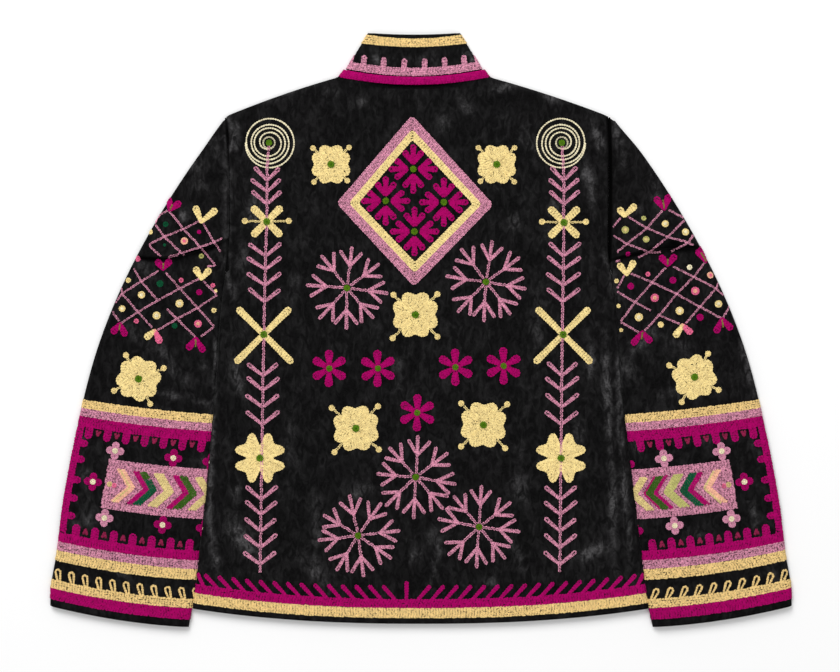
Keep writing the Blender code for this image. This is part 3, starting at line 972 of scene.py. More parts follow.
# Colour, middle and radius
DOTS = {
    -1: (
        ("teal", (-296.5, 124), 3.3), ("teal", (-297.5, 100), 2.0), ("yellow", (-314, 115), 2.9),
        ("salmon", (-274.5, 104.5), 4.3), ("magenta", (-257.5, 115), 2.6), ("olive", (-255, 87), 3.0),
        ("yellow", (-340, 59), 3.2), ("yellow", (-324.5, 42), 4.3), ("yellow", (-347, 26), 3.9),
        ("yellow", (-280.5, 32), 4.7), ("yellow", (-307, 18), 4.7), ("teal", (-303, 55), 4.1),
        ("pink", (-278.5, 59), 2.9), ("magenta", (-257.5, 45), 3.6), ("pink", (-259, 8.5), 4.5),
        ("teal", (-286, 6), 3.4), ("pink", (-330.5, 11.5), 3.0), ("pink", (-241.5, 53), 2.8),
        ("yellow", (-238.5, 46.5), 2.2), ("yellow", (-240.5, 24), 3.0), ("pink", (-329, 84), 3.4),
    ),
    1: (
        ("olive", (237, 117.5), 4.3), ("olive", (261, 106.5), 3.9), ("yellow", (283.5, 124.5), 4.1),
        ("yellow", (307, 115), 4.2), ("olive", (258.5, 131), 2.9), ("magenta", (240, 89.5), 2.9),
        ("pink", (263.5, 66), 2.9), ("magenta", (243.5, 52), 4.0), ("magenta", (292.5, 59), 4.1),
        ("cream", (312, 74), 3.2), ("salmon", (336, 65), 3.9), ("pink", (318.5, 46.5), 4.9),
        ("pink", (271.5, 38.5), 4.8), ("yellow", (253, 16), 4.8), ("yellow", (300.5, 23.5), 4.8),
        ("yellow", (345.5, 31.5), 4.4), ("yellow", (278.5, 7.5), 3.6), ("magenta", (324, 16), 4.2),
        ("yellow", (227, 58), 2.8), ("yellow", (229.5, 29), 2.6), ("yellow", (232.5, 1), 2.5),
    ),
}
DOT_MIDDLES = {"yellow": "cream", "pink": "salmon", "salmon": "pink", "olive": "straw"}
LEAST_WITH_MIDDLE = 3.8
# Colours of the two petals, where they meet, and their tips
PETAL_PAIRS = {
    -1: (
        ("magenta", "magenta", (-291.5, 140.5), (-292.5, 151), (-282, 147.5)),
        ("yellow", "yellow", (-255, 126.5), (-261, 141.5), (-240, 139)),
        ("magenta", "magenta", (-299.5, 72), (-305, 79.5), (-293, 80)),
        ("yellow", "yellow", (-255, 60.5), (-261, 71), (-247, 69.5)),
        ("magenta", "magenta", (-349.5, 8.5), (-356.5, 0), (-344.5, -2.5)),
        ("yellow", "pink", (-309, 0.5), (-317.5, -6.5), (-304, -11)),
        ("magenta", "magenta", (-261.5, -8.5), (-269, -18.5), (-254, -21)),
    ),
    1: (
        ("magenta", "magenta", (282.5, 141.5), (274, 152.5), (287, 155)),
        ("yellow", "yellow", (236, 133.5), (231.5, 140), (247, 144)),
        ("magenta", "magenta", (286.5, 76.5), (280, 84.5), (293.5, 85.5)),
        ("yellow", "yellow", (239, 65.5), (231.5, 75.5), (246, 78.5)),
        ("magenta", "magenta", (331, 80.5), (322.5, 91.5), (325, 94)),
        ("magenta", "magenta", (257, -1.5), (247.5, -13), (265, -10.5)),
        ("yellow", "pink", (304, 7), (296.5, -4), (311.5, -0.5)),
        ("magenta", "magenta", (349.5, 14), (343.5, 1), (358.5, 4.5)),
    ),
}

# Bands round the cuff, as shares of the way from its top line to its end
CUFF_BANDS = (
    ("gold", 0.000, 0.041),
    ("mauve", 0.041, 0.079),
    ("magenta", 0.079, 0.127),
    ("magenta", 0.642, 0.686),
    ("mauve", 0.686, 0.728),
    ("gold", 0.728, 0.778),
    ("gold", 0.868, 0.911),
    ("magenta", 0.911, 0.964),
)
CUFF_HEIGHT = 245.0
CUFF_WIDTH = 172.0
# The magenta frame: teeth and pairs of wine bars hang from its upper band and stand on its lower
# one, and scallops line its outer side. Distances are along the cloth from the outer edge.
FRAME_ENDS = (0.125, 0.645)
TOOTH_PITCH = 22.3
UPPER_TOOTH, UPPER_TEETH = 16.8, (0.125, 0.165)
LOWER_TOOTH, LOWER_TEETH = 21.5, (0.645, 0.608)
UPPER_WINE, UPPER_WINE_ENDS = 28.0, (0.161, 0.139)
LOWER_WINE, LOWER_WINE_ENDS = 32.6, (0.606, 0.629)
WINE_LEAN = 2.1
BOX_FROM_EDGE = {-1: 44.0, 1: 48.5}
BOX_TOP, BOX_END = 0.260, 0.493
# Each arrow in the box: how far in it starts, and its colours from the outer side with their rows
ARROWS = {
    -1: (
        (0.0, (("salmon", 1), ("straw", 1), ("salmon", 2))),
        (19.0, (("magenta", 3), ("leaf to teal", 4))),
        (43.5, (("straw", 5),)),
        (66.0, (("magenta", 3), ("leaf", 4))),
        (91.5, (("straw", 4),)),
    ),
    1: (
        (0.0, (("salmon", 3), ("straw", 1))),
        (21.0, (("magenta", 3), ("teal", 4))),
        (44.6, (("olive", 5),)),
        (63.5, (("magenta", 2), ("leaf", 4), ("magenta", 1))),
        (86.5, (("straw", 4),)),
    ),
}
ARROW_ROW = 2.35
ARROW_WIDTH = 2.8
ARROW_INDENT = 15.0
# An arrow's upper end, point and lower end: how far in and how far down each lies
ARROW_INWARDS = (0.0, 16.0, -1.0)
ARROW_DOWN = (0.298, 0.377, 0.455)
# The two dots outside the first arrow: colour, how far in and down, radius and width of rows
BOX_DOTS = (("straw", 8.8, 0.376, 3.3, 1.9), ("pink", 14.4, 0.379, 2.9, 1.8))
SCALLOPS_DOWN = (0.206, 0.283, 0.382, 0.470, 0.555)
# Where the first loop stands, the way to the next, and how far each leans
LOOP_COUNT = 11
LOOPS = {-1: (10.8, 16.25, 4.2), 1: (12.0, 16.9, 7.6)}
LOOP_FOOT, LOOP_TIP = 0.872, 0.815
LOOP_LENGTH = 10.2
CUFF_FLOWERS = {
    -1: (
        ("lilac", (-355, -139)), ("magenta", (-287.5, -147.5)), ("magenta", (-381, -175)),
        ("lilac", (-367.5, -217)), ("magenta", (-300, -225)),
        ("magenta", (-243.5, -152.5)), ("magenta", (-251, -229.5)),
    ),
    1: (
        ("lilac", (282, -148)), ("lilac", (349, -139.5)), ("magenta", (375.5, -175)),
        ("lilac", (360.5, -218)), ("lilac", (294.5, -226)),
        ("magenta", (238, -155.5)), ("magenta", (248, -233)),
    ),
}


def cuff_place(side, from_edge, share_down):
    """The place at a distance along the cloth from a cuff's outer edge, on one of its lines."""
    from_edge, share_down = np.broadcast_arrays(np.asarray(from_edge, float), share_down)
    line = blend_lines(SLEEVE_ELBOW, SLEEVE_CUFF, share_down)
    v = line_height(line, np.clip((from_edge - 2.2) / CUFF_WIDTH, 0, 1))
    inner, outer, depth = sleeve_edges(v, side)
    return np.stack([side * (outer + depth * TURN_STRETCH - from_edge), v], axis=-1)


def cuff_ring(side, share_down):
    """A path right round the sleeve along one line of the cuff."""
    line = blend_lines(SLEEVE_ELBOW, SLEEVE_CUFF, share_down)
    u, v = sleeve_net(side, 90, 90, [line])
    return np.stack([u[0], v[0]], axis=-1)


def cuff_bands(work, side):
    for colour, top, end in CUFF_BANDS:
        rows = round((end - top) * CUFF_HEIGHT / FILL)
        for k in range(rows):
            path = cuff_ring(side, blend(top, end, (k + 0.5) / rows))
            work.row(colour, path, FILL * 1.06, CLOSE)


def cuff_frame(work, side):
    def bar(colour, inwards, down, radius, lean=0.0, width=FILL):
        start = cuff_place(side, inwards, down[0])
        end = cuff_place(side, inwards + lean, down[1])
        petal(work, colour, start, end, radius, radius, width)

    downwards = np.linspace(*FRAME_ENDS, 70)
    for k in range(4):
        work.row("magenta", cuff_place(side, 1.6 + 2.4 * k, downwards), 2.5, CLOSE)
    for k in range(7):
        bar("magenta", UPPER_TOOTH + TOOTH_PITCH * k, UPPER_TEETH, 4.5)
        bar("magenta", LOWER_TOOTH + TOOTH_PITCH * k, LOWER_TEETH, 4.7)
    for down in SCALLOPS_DOWN:
        bar("magenta", 9, (down, down), 4.2, 5.6)
    for k in range(6):
        for lean in (-WINE_LEAN, WINE_LEAN):
            bar("wine", UPPER_WINE + TOOTH_PITCH * k, UPPER_WINE_ENDS, 1.5, lean, 1.6)
            bar("wine", LOWER_WINE + TOOTH_PITCH * k, LOWER_WINE_ENDS, 1.5, lean, 1.6)


def arrow_box(work, side):
    rows = round((BOX_END - BOX_TOP) * CUFF_HEIGHT / FILL)
    box_start = BOX_FROM_EDGE[side]
    inwards = np.linspace(box_start + 2.2, CUFF_WIDTH + 5, 60)
    for k in range(rows):
        down = blend(BOX_TOP, BOX_END, (k + 0.5) / rows)
        work.row("mauve", cuff_place(side, inwards, down), FILL * 1.06, CLOSE)
    for offset, parts in ARROWS[side]:
        start = box_start + ARROW_INDENT + offset
        for colour in [colour for colour, count in parts for _ in range(count)]:
            bend = np.linspace(0, 2, 40)
            inward = np.interp(bend, (0, 1, 2), [start + way for way in ARROW_INWARDS])
            path = cuff_place(side, inward, np.interp(bend, (0, 1, 2), ARROW_DOWN))
            stretches = [(colour, path)]
            if colour == "leaf to teal":
                stretches = [("leaf", path[:9]), ("teal", path[8:])]
            for name, stretch in stretches:
                work.row(name, stretch, ARROW_WIDTH, CLOSE, raised=0.7, steady=True)
            start += ARROW_ROW
    for colour, inwards, down, radius, width in BOX_DOTS:
        dot(work, colour, cuff_place(side, box_start + inwards, down), radius, width, raised=0.6)


def cuff(work, side):
    cuff_bands(work, side)
    cuff_frame(work, side)
    arrow_box(work, side)
    for colour, centre in CUFF_FLOWERS[side]:
        small_flower(work, colour, centre, side * 7)
    first, apart, lean = LOOPS[side]
    for k in range(LOOP_COUNT):
        base = cuff_place(side, first + apart * k, LOOP_FOOT)
        tip = cuff_place(side, first + apart * k - lean, LOOP_TIP)
        angle = math.degrees(math.atan2(tip[1] - base[1], tip[0] - base[0]))
        outline = petal_outline(LOOP_LENGTH, 1.5, 2.8) + (0.5, 0)
        work.ring("gold", turned(outline, angle) + base, 2.4, link=2.8, steady=True)


def sleeve_lattice(work, side):
    for line in LATTICE[side]:
        line = np.array(line, float)
        steps = np.linspace(0, len(line) - 1, 12 * len(line))
        path = np.stack([np.interp(steps, range(len(line)), line[:, k]) for k in (0, 1)], axis=-1)
        work.row("mauve", path, 2.4)
    for colour, centre, radius in DOTS[side]:
        dot(work, colour, centre, radius, 1.9)
        if radius > LEAST_WITH_MIDDLE and colour in DOT_MIDDLES:
            dot(work, DOT_MIDDLES[colour], centre, radius * 0.5, 1.7, raised=0.5)
    for left, right, *places in PETAL_PAIRS[side]:
        foot, left_tip, right_tip = np.array(places)
        petal(work, left, foot, left_tip, 2.2, 4.2, raised=0.2)
        petal(work, right, foot, right_tip, 2.2, 4.2, raised=0.2)
        if left == right == "magenta":
            tip = blend(left_tip, right_tip, 0.5)
            work.row("moss", [foot, blend(foot, tip, 0.9)], 1.6, CLOSE, raised=0.9)


# Colour, lower and upper height above the hem, and number of rows
HEM_BANDS = (("gold", 6.6, 18.2, 5), ("magenta", 18.2, 28.6, 4))
HEM_HALF_WIDTH = 266.0
# Where the upright feather stands, how far apart the others are, and how far their tips lean
FEATHER_MIDDLE = -16.8
FEATHER_PITCH = 15.9
FEATHER_LEAN = 13.5
FEATHERS_EACH_SIDE = 17
# How far out their feet and their left and right tips may lie
FEET_LIMIT = 254.0
LEFT_TIPS, RIGHT_TIPS = -259.0, 258.0
# Their heights above the hem: feet, tips in the middle and at the sides, and the upright one's more
FEET_HEIGHT = 27.5
MIDDLE_TIPS, SIDE_TIPS = 43.0, 40.0
UPRIGHT_MORE = 4.5


def hem_path(above, ends):
    """A path along the hem at a height above its edge."""
    share = np.linspace(*ends, 200)
    v = hem_y(np.abs(share)) + above
    reach = body_half_width(v) + (TURN_STRETCH - 1) * TURN_DEPTH
    return np.stack([body_middle(v) + share * reach, v], axis=-1)


def hem_bands(work, ends):
    for colour, low, high, rows in HEM_BANDS:
        for k in range(rows):
            above = blend(low, high, (k + 0.5) / rows)
            work.row(colour, hem_path(above, ends), (high - low) / rows * 1.08, CLOSE)


def hem_feathers(work):
    """Short bars on the hem's magenta band that lean away from an upright one."""
    feathers = [(FEATHER_MIDDLE, 0)]
    for side in (-1, 1):
        for k in range(1, FEATHERS_EACH_SIDE + 1):
            feathers.append((FEATHER_MIDDLE + side * (FEATHER_PITCH * k - 3), side))
    for x, side in feathers:
        if abs(x) > FEET_LIMIT:
            continue
        foot_y = hem_y(abs(x) / HEM_HALF_WIDTH) + FEET_HEIGHT
        tip_x = np.clip(x + side * FEATHER_LEAN, LEFT_TIPS, RIGHT_TIPS)
        outwards = abs(tip_x) / HEM_HALF_WIDTH
        tip_y = hem_y(outwards) + blend(MIDDLE_TIPS, SIDE_TIPS, outwards)
        if side == 0:
            tip_y += UPRIGHT_MORE
        petal(work, "magenta", (x, foot_y), (tip_x, tip_y), 2.0, 2.6, width=2.2)


def embroider_back(work):
    hem_bands(work, (-1, 1))
    hem_feathers(work)
    for side, centre, stem in zip((-1, 1), SPIRALS, STEMS):
        spiral(work, centre, side)
        fern(work, stem, side)
    for centre in SIDE_DOTTED:
        crossed_petals(work, centre, *SMALL_CROSS)
    for centre in BIG_CROSSES:
        crossed_petals(work, centre, *BIG_CROSS)
    for centre in CLOVERS:
        clover(work, centre)
    for centre, size, turn, stalks in EIGHT_LOBED:
        eight_lobed(work, centre, size, turn, stalks)
    diamond(work)
    for centre, branches in zip(SNOWFLAKES, BRANCHES):
        snowflake(work, centre, branches)
    for centre in SIX_PETALLED:
        six_petals(work, centre)


def embroider_sleeve(work, side):
    sleeve_lattice(work, side)
    centre, size, turn, stalks = SLEEVE_FLOWERS[side]
    eight_lobed(work, centre, size, turn, stalks)
    cuff(work, side)


# The mauve posts on the collar's back and on each of its front halves
COLLAR_POSTS = (-58.7, -35.6, -11.6, 12.4, 35.7, 58.5)
FRONT_POSTS = (74.5, 98.0, 122.0)


def collar_bands(work, front_length):
    """Bands and posts round the collar; u is measured from the middle of the back."""

    def band(colour, low, high, rows, rise=0.0):
        for k in range(rows):
            share = (k + 0.5) / rows
            v = blend(low, high, share)
            half = blend(COLLAR_FOOT.half_width, COLLAR_EDGE.half_width, v / COLLAR_DEEP)
            reach = half + front_length + 2
            u = np.linspace(-reach, reach, 260)
            v = v + rise * share * np.minimum(1, np.abs(u) / half) ** 2
            steady = k in (0, rows - 1)
            work.row(colour, np.stack([u, v], -1), (high - low) / rows * 1.12, CLOSE, steady=steady)

    band("mauve", 0.4, 9.2, 4)
    band("gold", 32.4, 41.4, 4, 2.6)
    for x in (*COLLAR_POSTS, *FRONT_POSTS, *(-p for p in FRONT_POSTS)):
        petal(work, "mauve", (x, 8.0), (0.985 * x, 16.4), 3.1, 3.3)


def neck_band_rows(work, front_length):
    rows = 4
    for k in range(rows):
        v = blend(0.6, BAND_DEEP - 0.6, (k + 0.5) / rows)
        reach = NECKLINE.half_width + front_length
        u = np.linspace(-reach, reach, 260)
        work.row("magenta", np.stack([u, np.full_like(u, v)], -1), 2.7, CLOSE)


# Finishes

# Colour and material slot of each thread
THREADS = {
    "yellow": ((0.94, 0.73, 0.32), "yellow_thread"),
    "gold": ((0.88, 0.625, 0.26), "yellow_thread"),
    "cream": ((0.94, 0.84, 0.58), "yellow_thread"),
    "straw": ((0.74, 0.58, 0.25), "yellow_thread"),
    "lilac": ((0.70, 0.30, 0.43), "mauve_thread"),
    "mauve": ((0.78, 0.325, 0.46), "mauve_thread"),
    "magenta": ((0.40, 0.001, 0.125), "magenta_thread"),
    "green": ((0.085, 0.195, 0.006), "green_thread"),
    "leaf": ((0.038, 0.110, 0.010), "green_thread"),
    "moss": ((0.20, 0.19, 0.04), "green_thread"),
    "teal": ((0.004, 0.085, 0.034), "green_thread"),
    "olive": ((0.52, 0.50, 0.17), "green_thread"),
    "salmon": ((0.92, 0.49, 0.33), "accent_thread"),
    "pink": ((0.79, 0.15, 0.29), "accent_thread"),
    "wine": ((0.30, 0.018, 0.075), "accent_thread"),
}
# Share of the thread's surface that its small dark gaps take up, by colour
SPECKLE = {
    "mauve": 0.15, "gold": 0.075, "straw": 0.075, "yellow": 0.035, "cream": 0.0, "magenta": 0.015,
}


# Paler patches of raised pile on the velvet, and painted highlights (sheen) along its creases, folds
# and edges: middle, angle, half length, half width and strength.
# Where strength is below 0 the mark is painted shade and looks darker, as painted shade also darkens
# the armhole seams.
NapAndLightMark = namedtuple("NapAndLightMark", "x y angle length width strength")
NAP_AND_PAINTED_LIGHT_MARKS = tuple(NapAndLightMark(*row) for row in (
    # Back, above the waist
    (-221, 240, -61, 12, 4.8, 0.7), (-225, 187, -88, 35, 3.8, 0.55), (-225, 114, -90, 38, 3.8, 0.5),
    (-218, 47, -66, 17, 3, 1.0), (-208, 79, -85, 15, 5.7, 0.35), (-108, 280, -30, 9, 4.8, 0.6),
    (-71, 266, -24, 10, 4.2, 0.28), (-162, 278, 10, 22, 6.6, 0.3), (-148, 53, -88, 17, 6.6, 0.35),
    (-191, 146, -103, 30, 9.5, 0.25), (99, 282, 16, 17, 4.8, 0.75), (53, 259, -49, 12, 4.6, 0.32),
    (154, 270, -19, 10, 4.8, 0.7), (205, 226, -80, 16, 3.8, 0.8), (195, 169, -79, 24, 4.8, 0.9),
    (108, 122, -90, 12, 5.7, 0.35), (27, 243, -81, 8, 6.6, 0.3), (220, 66, -76, 19, 4.8, 0.6),
    (154, 135, -103, 30, 8.5, 0.22), (126, 216, -56, 21, 8.5, 0.25),
    # Back, below the waist
    (-211, -59, -73, 19, 5.7, 0.65), (-216, -187, -79, 9, 5.7, 0.4), (-206, -241, -54, 24, 7.6, 0.75),
    (-240, -252, -78, 28, 3.8, 0.7), (-152, -129, -90, 32, 7.6, 0.3), (-65, -186, 13, 18, 5.7, 0.35),
    (-122, -231, -88, 35, 6.6, 0.35), (-240, -57, -92, 41, 2.4, 0.9), (-244, -167, -92, 52, 2.4, 0.7),
    (-123, -283, -45, 25, 8.5, 0.25), (216, -66, -88, 49, 3.8, 0.7), (231, -71, -88, 55, 3.4, 0.6),
    (222, -184, -88, 58, 3.8, 0.55), (237, -193, -85, 55, 3.4, 0.6), (200, -256, 25, 17, 5.7, 0.85),
    (197, -37, -94, 15, 4.8, 0.6), (17, -270, 77, 21, 3.8, 0.6), (113, -260, -72, 13, 4.8, 0.5),
    (-7, -261, 39, 7, 4.8, 0.4), (82, -291, -18, 7, 4.8, 0.45), (115, -167, -89, 29, 7.6, 0.3),
    (184, -121, -81, 12, 5.7, 0.35), (17, -241, -84, 11, 7.6, 0.3), (-24, -48, -86, 32, 9.5, 0.2),
    (136, 7, -95, 29, 8.5, 0.25),
    # Sleeves, above the cuffs
    (-259, 187, -69, 25, 7.4, 0.3), (-244, 216, -70, 19, 5.7, 0.5), (-276, 133, -45, 5, 3.4, 0.8),
    (-322, 72, -54, 10, 5.7, 0.55), (-296, -32, -59, 14, 4.8, 0.6), (-252, -38, -76, 7, 4.8, 0.45),
    (-275, -78, -11, 24, 2.8, 0.7), (-328, -8, -32, 16, 6.6, 0.25), (-277, -55, -39, 11, 5.7, 0.15),
    (273, 161, -74, 15, 5.7, 0.55), (252, 137, -74, 8, 6.6, 0.35), (258, -14, 39, 16, 7.6, 0.5),
    (242, -45, -73, 10, 6.6, 0.4), (380, -41, -78, 25, 5.7, 0.6), (266, 210, -63, 26, 8.5, 0.4),
    (230, 217, -79, 19, 4.8, 0.5), (350, 82, -69, 10, 4.8, 0.5), (299, -20, -18, 13, 7.6, 0.25),
    (300, -71, 7, 23, 5.7, 0.35),
    # Cuffs
    (-393, -122, -76, 7, 3.8, 0.6), (-390, -172, -85, 20, 4.8, 0.45), (-385, -218, -67, 9, 5.7, 0.5),
    (-400, -229, -79, 9, 3.8, 0.5), (-314, -125, -11, 12, 4.8, 0.2), (387, -133, -67, 8, 3.8, 0.5),
    (387, -213, -79, 18, 4.8, 0.45), (336, -124, 10, 13, 4.8, 0.3), (321, -233, -14, 10, 4.8, 0.35),
    (409, -284, 18, 7, 3.8, 0.3), (-254, -151, -77, 11, 3.8, 0.4), (251, -136, -69, 10, 3.8, 0.35),
    (-349, -282, -14, 12, 3.8, 0.25),
    # Collar
    (-7, 316, -4, 17, 4.8, 0.3), (-51, 316, -54, 10, 3.8, 0.5), (57, 317, -56, 8, 3.8, 0.45),
    # Thin wisps of painted sheen beside the shoulder seams
    (-214.5, 233, 67, 6, 2.2, 1.1), (-219.5, 216, 75, 8, 2.2, 0.8), (-214, 215, 86, 7, 2.4, 0.7),
    (202.5, 233, -58, 9, 2.6, 1.0), (206, 217, -88, 9, 2.2, 0.8), (210.5, 216, -76, 9, 2.6, 0.7),
    # Painted shade below the neck band and in the bend folds
    (-8, 286.5, 0, 40, 3.5, -0.4), (-318, 84.5, -4, 26, 2.2, -0.3), (-262, 93, 14, 26, 2.2, -0.3),
    (247, 89, 14, 26, 2.2, -0.3), (305, 97.5, 1, 28, 2.2, -0.3), (292, 101, 12, 7, 3.5, -0.35),
))
NAP_GROUND = 0.045
# Painted sheen: the velvet is made paler where its surface turns away from upright, at its turned edges
PAINTED_EDGE_SHEEN = 0.15
# Painted shade along the armhole seams, and how wide it is
PAINTED_SEAM_SHADE = 0.4
PAINTED_SEAM_SHADE_WIDTH = 1.9
# Limits of the stored value; below 0 it is painted shade, above it raised pile and painted sheen
DARKEST_PAINTED_SHADE, MOST_NAP_AND_SHEEN = -0.2, 1.5
# Colours: the deep black velvet, the paler tone of raised pile and painted highlights, the fine grain,
# and the near black of painted shade
DEEP_NAP = (0.0028, 0.0027, 0.0028)
PALE_NAP_AND_SHEEN = (0.072, 0.070, 0.072)
NAP_GRAIN = (0.0068, 0.0066, 0.0068)
PAINTED_SHADE_TONE = (0.0006, 0.0006, 0.0006)


class Finish:
    """A procedural material. Each step adds a node and returns the socket its result comes from."""

    def __init__(self, name):
        self.material = bpy.data.materials.new(name)
        self.material.use_nodes = True
        self.nodes = self.material.node_tree.nodes
        self.link = self.material.node_tree.links.new
        self.shader = self.nodes["Principled BSDF"].inputs
        self.place = self.nodes.new("ShaderNodeTexCoord").outputs["Object"]

    def noise(self, scale, detail=2.0, stretch=None, swirl=0.0):
        place = self.place
        if stretch:
            mapping = self.nodes.new("ShaderNodeMapping")
            mapping.inputs["Scale"].default_value = stretch
            self.link(place, mapping.inputs["Vector"])
            place = mapping.outputs["Vector"]
        noise = self.nodes.new("ShaderNodeTexNoise")
        noise.inputs["Scale"].default_value = scale
        noise.inputs["Detail"].default_value = detail
        noise.inputs["Distortion"].default_value = swirl
        self.link(place, noise.inputs["Vector"])
        return noise.outputs["Fac"]

    def spread(self, value, low, high, to_low, to_high):
        """The value with the range low to high spread over to_low to to_high."""
        change = self.nodes.new("ShaderNodeMapRange")
        change.inputs["From Min"].default_value = low
        change.inputs["From Max"].default_value = high
        change.inputs["To Min"].default_value = to_low
        change.inputs["To Max"].default_value = to_high
        self.link(value, change.inputs["Value"])
        return change.outputs["Result"]

    def combine(self, operation, a, b):
        step = self.nodes.new("ShaderNodeMath")
        step.operation = operation
        step.use_clamp = operation == "ADD"
        self.link(a, step.inputs[0])
        self.link(b, step.inputs[1])
        return step.outputs["Value"]

    def mix(self, share, a, b):
        """A colour between a and b, each either a socket or an (r, g, b) colour."""
        mix = self.nodes.new("ShaderNodeMix")
        mix.data_type = "RGBA"
        self.link(share, mix.inputs["Factor"])
        for socket, colour in ((mix.inputs["A"], a), (mix.inputs["B"], b)):
            if isinstance(colour, tuple):
                socket.default_value = (*colour, 1.0)
            else:
                self.link(colour, socket)
        return mix.outputs["Result"]

    def bump(self, value, strength, distance):
        bump = self.nodes.new("ShaderNodeBump")
        bump.inputs["Strength"].default_value = strength
        bump.inputs["Distance"].default_value = distance
        self.link(value, bump.inputs["Height"])
        self.link(bump.outputs["Normal"], self.shader["Normal"])

    def surface(self, tone, roughness, specular):
        self.link(tone, self.shader["Base Color"])
        self.shader["Roughness"].default_value = roughness
        self.shader["Specular IOR Level"].default_value = specular


def velvet_material():
    """Black cotton velvet: pile raised this way and that, in soft greyer patches, with painted
    highlights (sheen) on creases and edges and painted shade in seams and folds.
    """
    finish = Finish("black_velvet")
    mottle = finish.noise(44.0, 8.0)
    streaks = finish.noise(150.0, 8.0, (1.0, 0.5, 1.0), 1.0)
    grain = finish.noise(430.0, 4.0)
    nap_and_painted_light = finish.nodes.new("ShaderNodeAttribute")
    nap_and_painted_light.attribute_name = "nap_and_painted_light"
    brushed_and_painted_light = nap_and_painted_light.outputs["Fac"]
    # The strength of the raised pile and of the painted highlights is broken up by the mottle and the
    # finer streaks
    broken = finish.combine("MULTIPLY", finish.spread(mottle, 0.36, 0.64, 0.25, 1.6), brushed_and_painted_light)
    broken = finish.combine("MULTIPLY", finish.spread(streaks, 0.37, 0.65, 0.2, 1.75), broken)
    share = finish.combine("ADD", broken, finish.spread(streaks, 0.45, 0.8, 0.0, 0.11))
    tone = finish.mix(share, DEEP_NAP, PALE_NAP_AND_SHEEN)
    tone = finish.mix(finish.spread(grain, 0.4, 0.65, 0.0, 0.6), tone, NAP_GRAIN)
    # Below 0 the stored value is painted shade, which darkens the velvet towards near black
    painted_shade = finish.spread(brushed_and_painted_light, DARKEST_PAINTED_SHADE, 0.0, 1.0, 0.0)
    finish.surface(finish.mix(painted_shade, tone, PAINTED_SHADE_TONE), 0.95, 0.02)
    finish.shader["Sheen Weight"].default_value = 0.02
    finish.shader["Sheen Roughness"].default_value = 0.35
    finish.bump(grain, 0.4, 0.0006)
    return finish.material


def thread_material(name, colour):
    """Cotton thread: dyed a little unevenly, with small dark gaps between its strands."""
    finish = Finish(name + "_thread_finish")
    dye = finish.noise(260.0, 3.0)
    fibre = finish.noise(1400.0, 2.0)
    speck = finish.noise(560.0, 1.0)
    deep = tuple(c * 0.8 for c in colour)
    light = tuple(min(1.0, c * 1.1) for c in colour)
    dark = tuple(c * 0.3 for c in colour)
    low = 0.72 - 1.3 * SPECKLE.get(name, 0.02)
    tone = finish.mix(finish.spread(dye, 0.35, 0.65, 0.0, 1.0), deep, light)
    tone = finish.mix(finish.spread(fibre, 0.35, 0.7, 0.0, 0.4), tone, deep)
    tone = finish.mix(finish.spread(speck, low, low + 0.06, 0.0, 0.8), tone, dark)
    finish.surface(tone, 0.85, 0.06)
    finish.bump(fibre, 0.5, 0.0003)
    return finish.material


def point_values(piece, name):
    values = np.empty(len(piece.data.vertices) * 3)
    piece.data.vertices.foreach_get(name, values)
    return values.reshape(-1, 3).T


def paint_nap_and_light(piece):
    """Store at each point how far the pile is raised, with painted highlights (sheen) and painted shade
    added, for the velvet's finish.
    """
    x, y, _ = point_values(piece, "co") / MM
    upright = np.abs(point_values(piece, "normal")[2])
    total = np.full(len(x), NAP_GROUND)
    for mark in NAP_AND_PAINTED_LIGHT_MARKS:
        along = np.radians(mark.angle)
        run = (x - mark.x) * np.cos(along) + (y - mark.y) * np.sin(along)
        off = (y - mark.y) * np.cos(along) - (x - mark.x) * np.sin(along)
        total += mark.strength * np.exp(-((run / mark.length) ** 2) - (off / mark.width) ** 2)
    # Painted sheen on the turned edges, where the cloth faces sideways
    total += PAINTED_EDGE_SHEEN * (1 - upright) ** 1.5
    # Painted shade along the armhole seams, above the armpit
    from_seam = np.abs(np.abs(x - body_middle(y)) - SHOULDER_WIDTH)
    painted_shade = PAINTED_SEAM_SHADE * np.exp(-((from_seam / PAINTED_SEAM_SHADE_WIDTH) ** 2))
    total -= np.where(y > ARMPIT, painted_shade, 0.0)
    layer = piece.data.attributes.new("nap_and_painted_light", "FLOAT", "POINT")
    layer.data.foreach_set("value", np.clip(total, DARKEST_PAINTED_SHADE, MOST_NAP_AND_SHEEN).astype(np.float32))


VELVET = velvet_material()
THREAD_FINISHES = {name: thread_material(name, colour) for name, (colour, slot) in THREADS.items()}


def finish_piece(piece, colour):
    piece.data.materials.append(THREAD_FINISHES[colour])


def add_cloth(node, chart, net, facing, stitches):
    """A velvet piece in the place of one CAD node."""
    wall = add_wall(node + "_velvet_cloth", chart, net, facing)
    paint_nap_and_light(wall)
    wall.data.materials.append(VELVET)
    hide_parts(node)


# The jacket


# Shares of the half width between which the fronts' hem bands run
FRONT_BANDS = (0.012, 0.985)


def build_body():
    upper = body_chart(True)
    work = Embroidery("back", upper)
    embroider_back(work)
    net = body_net(True, np.linspace(-1, 1, 181), 200)
    add_cloth("back", upper, net, 1, work.make())
    lower = body_chart(False)
    for node, side in (("front_left", -1), ("front_right", 1)):
        work = Embroidery(node, lower, -1)
        hem_bands(work, (side * FRONT_BANDS[0], side * FRONT_BANDS[1]))
        start = FRONT_OPENING / 2 / SHOULDER_WIDTH
        shares = side * np.linspace(start, 1, 46)
        net = body_net(False, np.sort(shares), 80)
        add_cloth(node, lower, net, -1, work.make())


def build_sleeves():
    for node, side in (("sleeve_left", -1), ("sleeve_right", 1)):
        chart = sleeve_chart(side)
        work = Embroidery(node, chart)
        embroider_sleeve(work, side)
        u, v = sleeve_net(side, 70, 45, sleeve_lines(side))
        if side > 0:
            u, v = u[:, ::-1], v[:, ::-1]
        add_cloth(node, chart, (u[::-1], v[::-1]), 1, work.make())


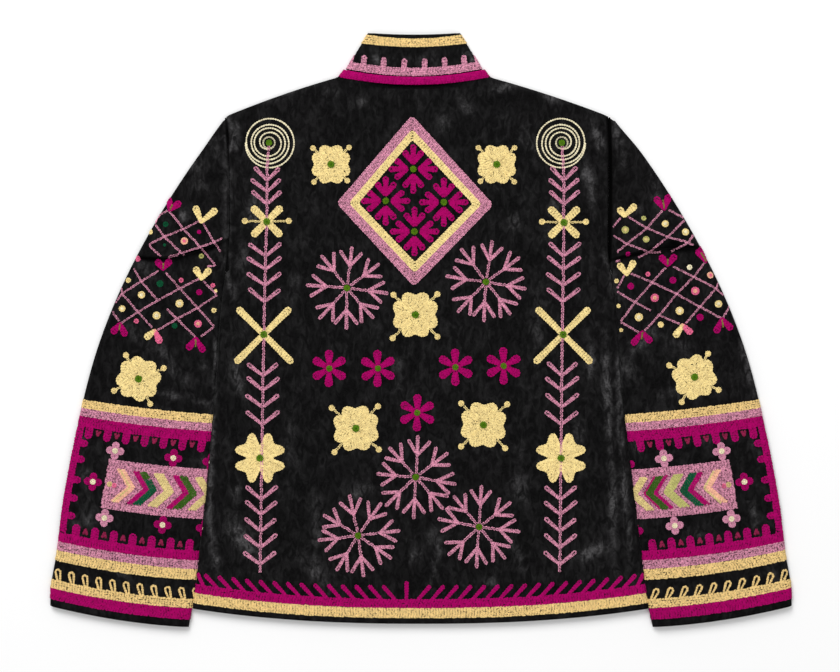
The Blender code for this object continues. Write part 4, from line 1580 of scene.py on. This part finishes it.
def build_collar():
    chart, front_length = ring_chart(COLLAR_FOOT, COLLAR_EDGE, COLLAR_DEEP, 0.0)
    work = Embroidery("collar", chart)
    collar_bands(work, front_length)
    net = ring_net(COLLAR_FOOT, COLLAR_EDGE, COLLAR_DEEP, front_length, 170, 18)
    add_cloth("collar", chart, net, 1, work.make())
    chart, front_length = ring_chart(NECKLINE, BAND_TOP, BAND_DEEP, 1.0)
    work = Embroidery("collar_band", chart)
    neck_band_rows(work, front_length)
    net = ring_net(NECKLINE, BAND_TOP, BAND_DEEP, front_length, 170, 8)
    ground = add_wall("collar_band_ground", chart, net)
    finish_piece(ground, "magenta")
    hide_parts("collar_band")
    work.make()


build_body()
build_sleeves()
build_collar()

# Floor, light and camera

# Name, place and size in metres, and power in watts
LIGHTS = (("key", (-1.1, 2.7, 2.9), 2.4, 134.0), ("fill", (1.4, -1.6, 3.0), 3.0, 24.0))
WORLD_STRENGTH = 0.52
# The camera looks straight down
CAMERA_PLACE = (-1.16 * MM, -5.8 * MM, 2.609)
SENSOR_WIDTH = 36.0
LENS = 96.0


def build_floor():
    bpy.ops.mesh.primitive_plane_add(size=14.0, location=(0, 0, 0))
    floor = bpy.context.object
    floor.name = "floor"
    finish = Finish("pale_floor")
    tone = finish.mix(finish.noise(3.0), (0.90, 0.90, 0.90), (0.92, 0.92, 0.92))
    finish.surface(tone, 0.95, 0.0)
    floor.data.materials.append(finish.material)


def add_light(name, place, size, power):
    data = bpy.data.lights.new(name, "AREA")
    data.size = size
    data.energy = power
    light = bpy.data.objects.new(name, data)
    light.location = place
    # It is aimed at the origin
    aim = -np.array(place, float)
    tilt = math.acos(-aim[2] / np.linalg.norm(aim))
    light.rotation_euler = (tilt, 0, math.atan2(-aim[0], aim[1]))
    bpy.context.scene.collection.objects.link(light)


def build_world():
    world = bpy.data.worlds.new("studio")
    world.use_nodes = True
    background = world.node_tree.nodes["Background"].inputs
    background["Color"].default_value = (1.0, 1.0, 1.0, 1.0)
    background["Strength"].default_value = WORLD_STRENGTH
    bpy.context.scene.world = world
    bpy.context.scene.view_settings.view_transform = "Standard"


def build_camera():
    data = bpy.data.cameras.new("camera")
    data.sensor_width = SENSOR_WIDTH
    data.lens = LENS
    camera = bpy.data.objects.new("camera", data)
    camera.location = CAMERA_PLACE
    bpy.context.scene.collection.objects.link(camera)
    bpy.context.scene.camera = camera


build_floor()
for light in LIGHTS:
    add_light(*light)
build_world()
build_camera()
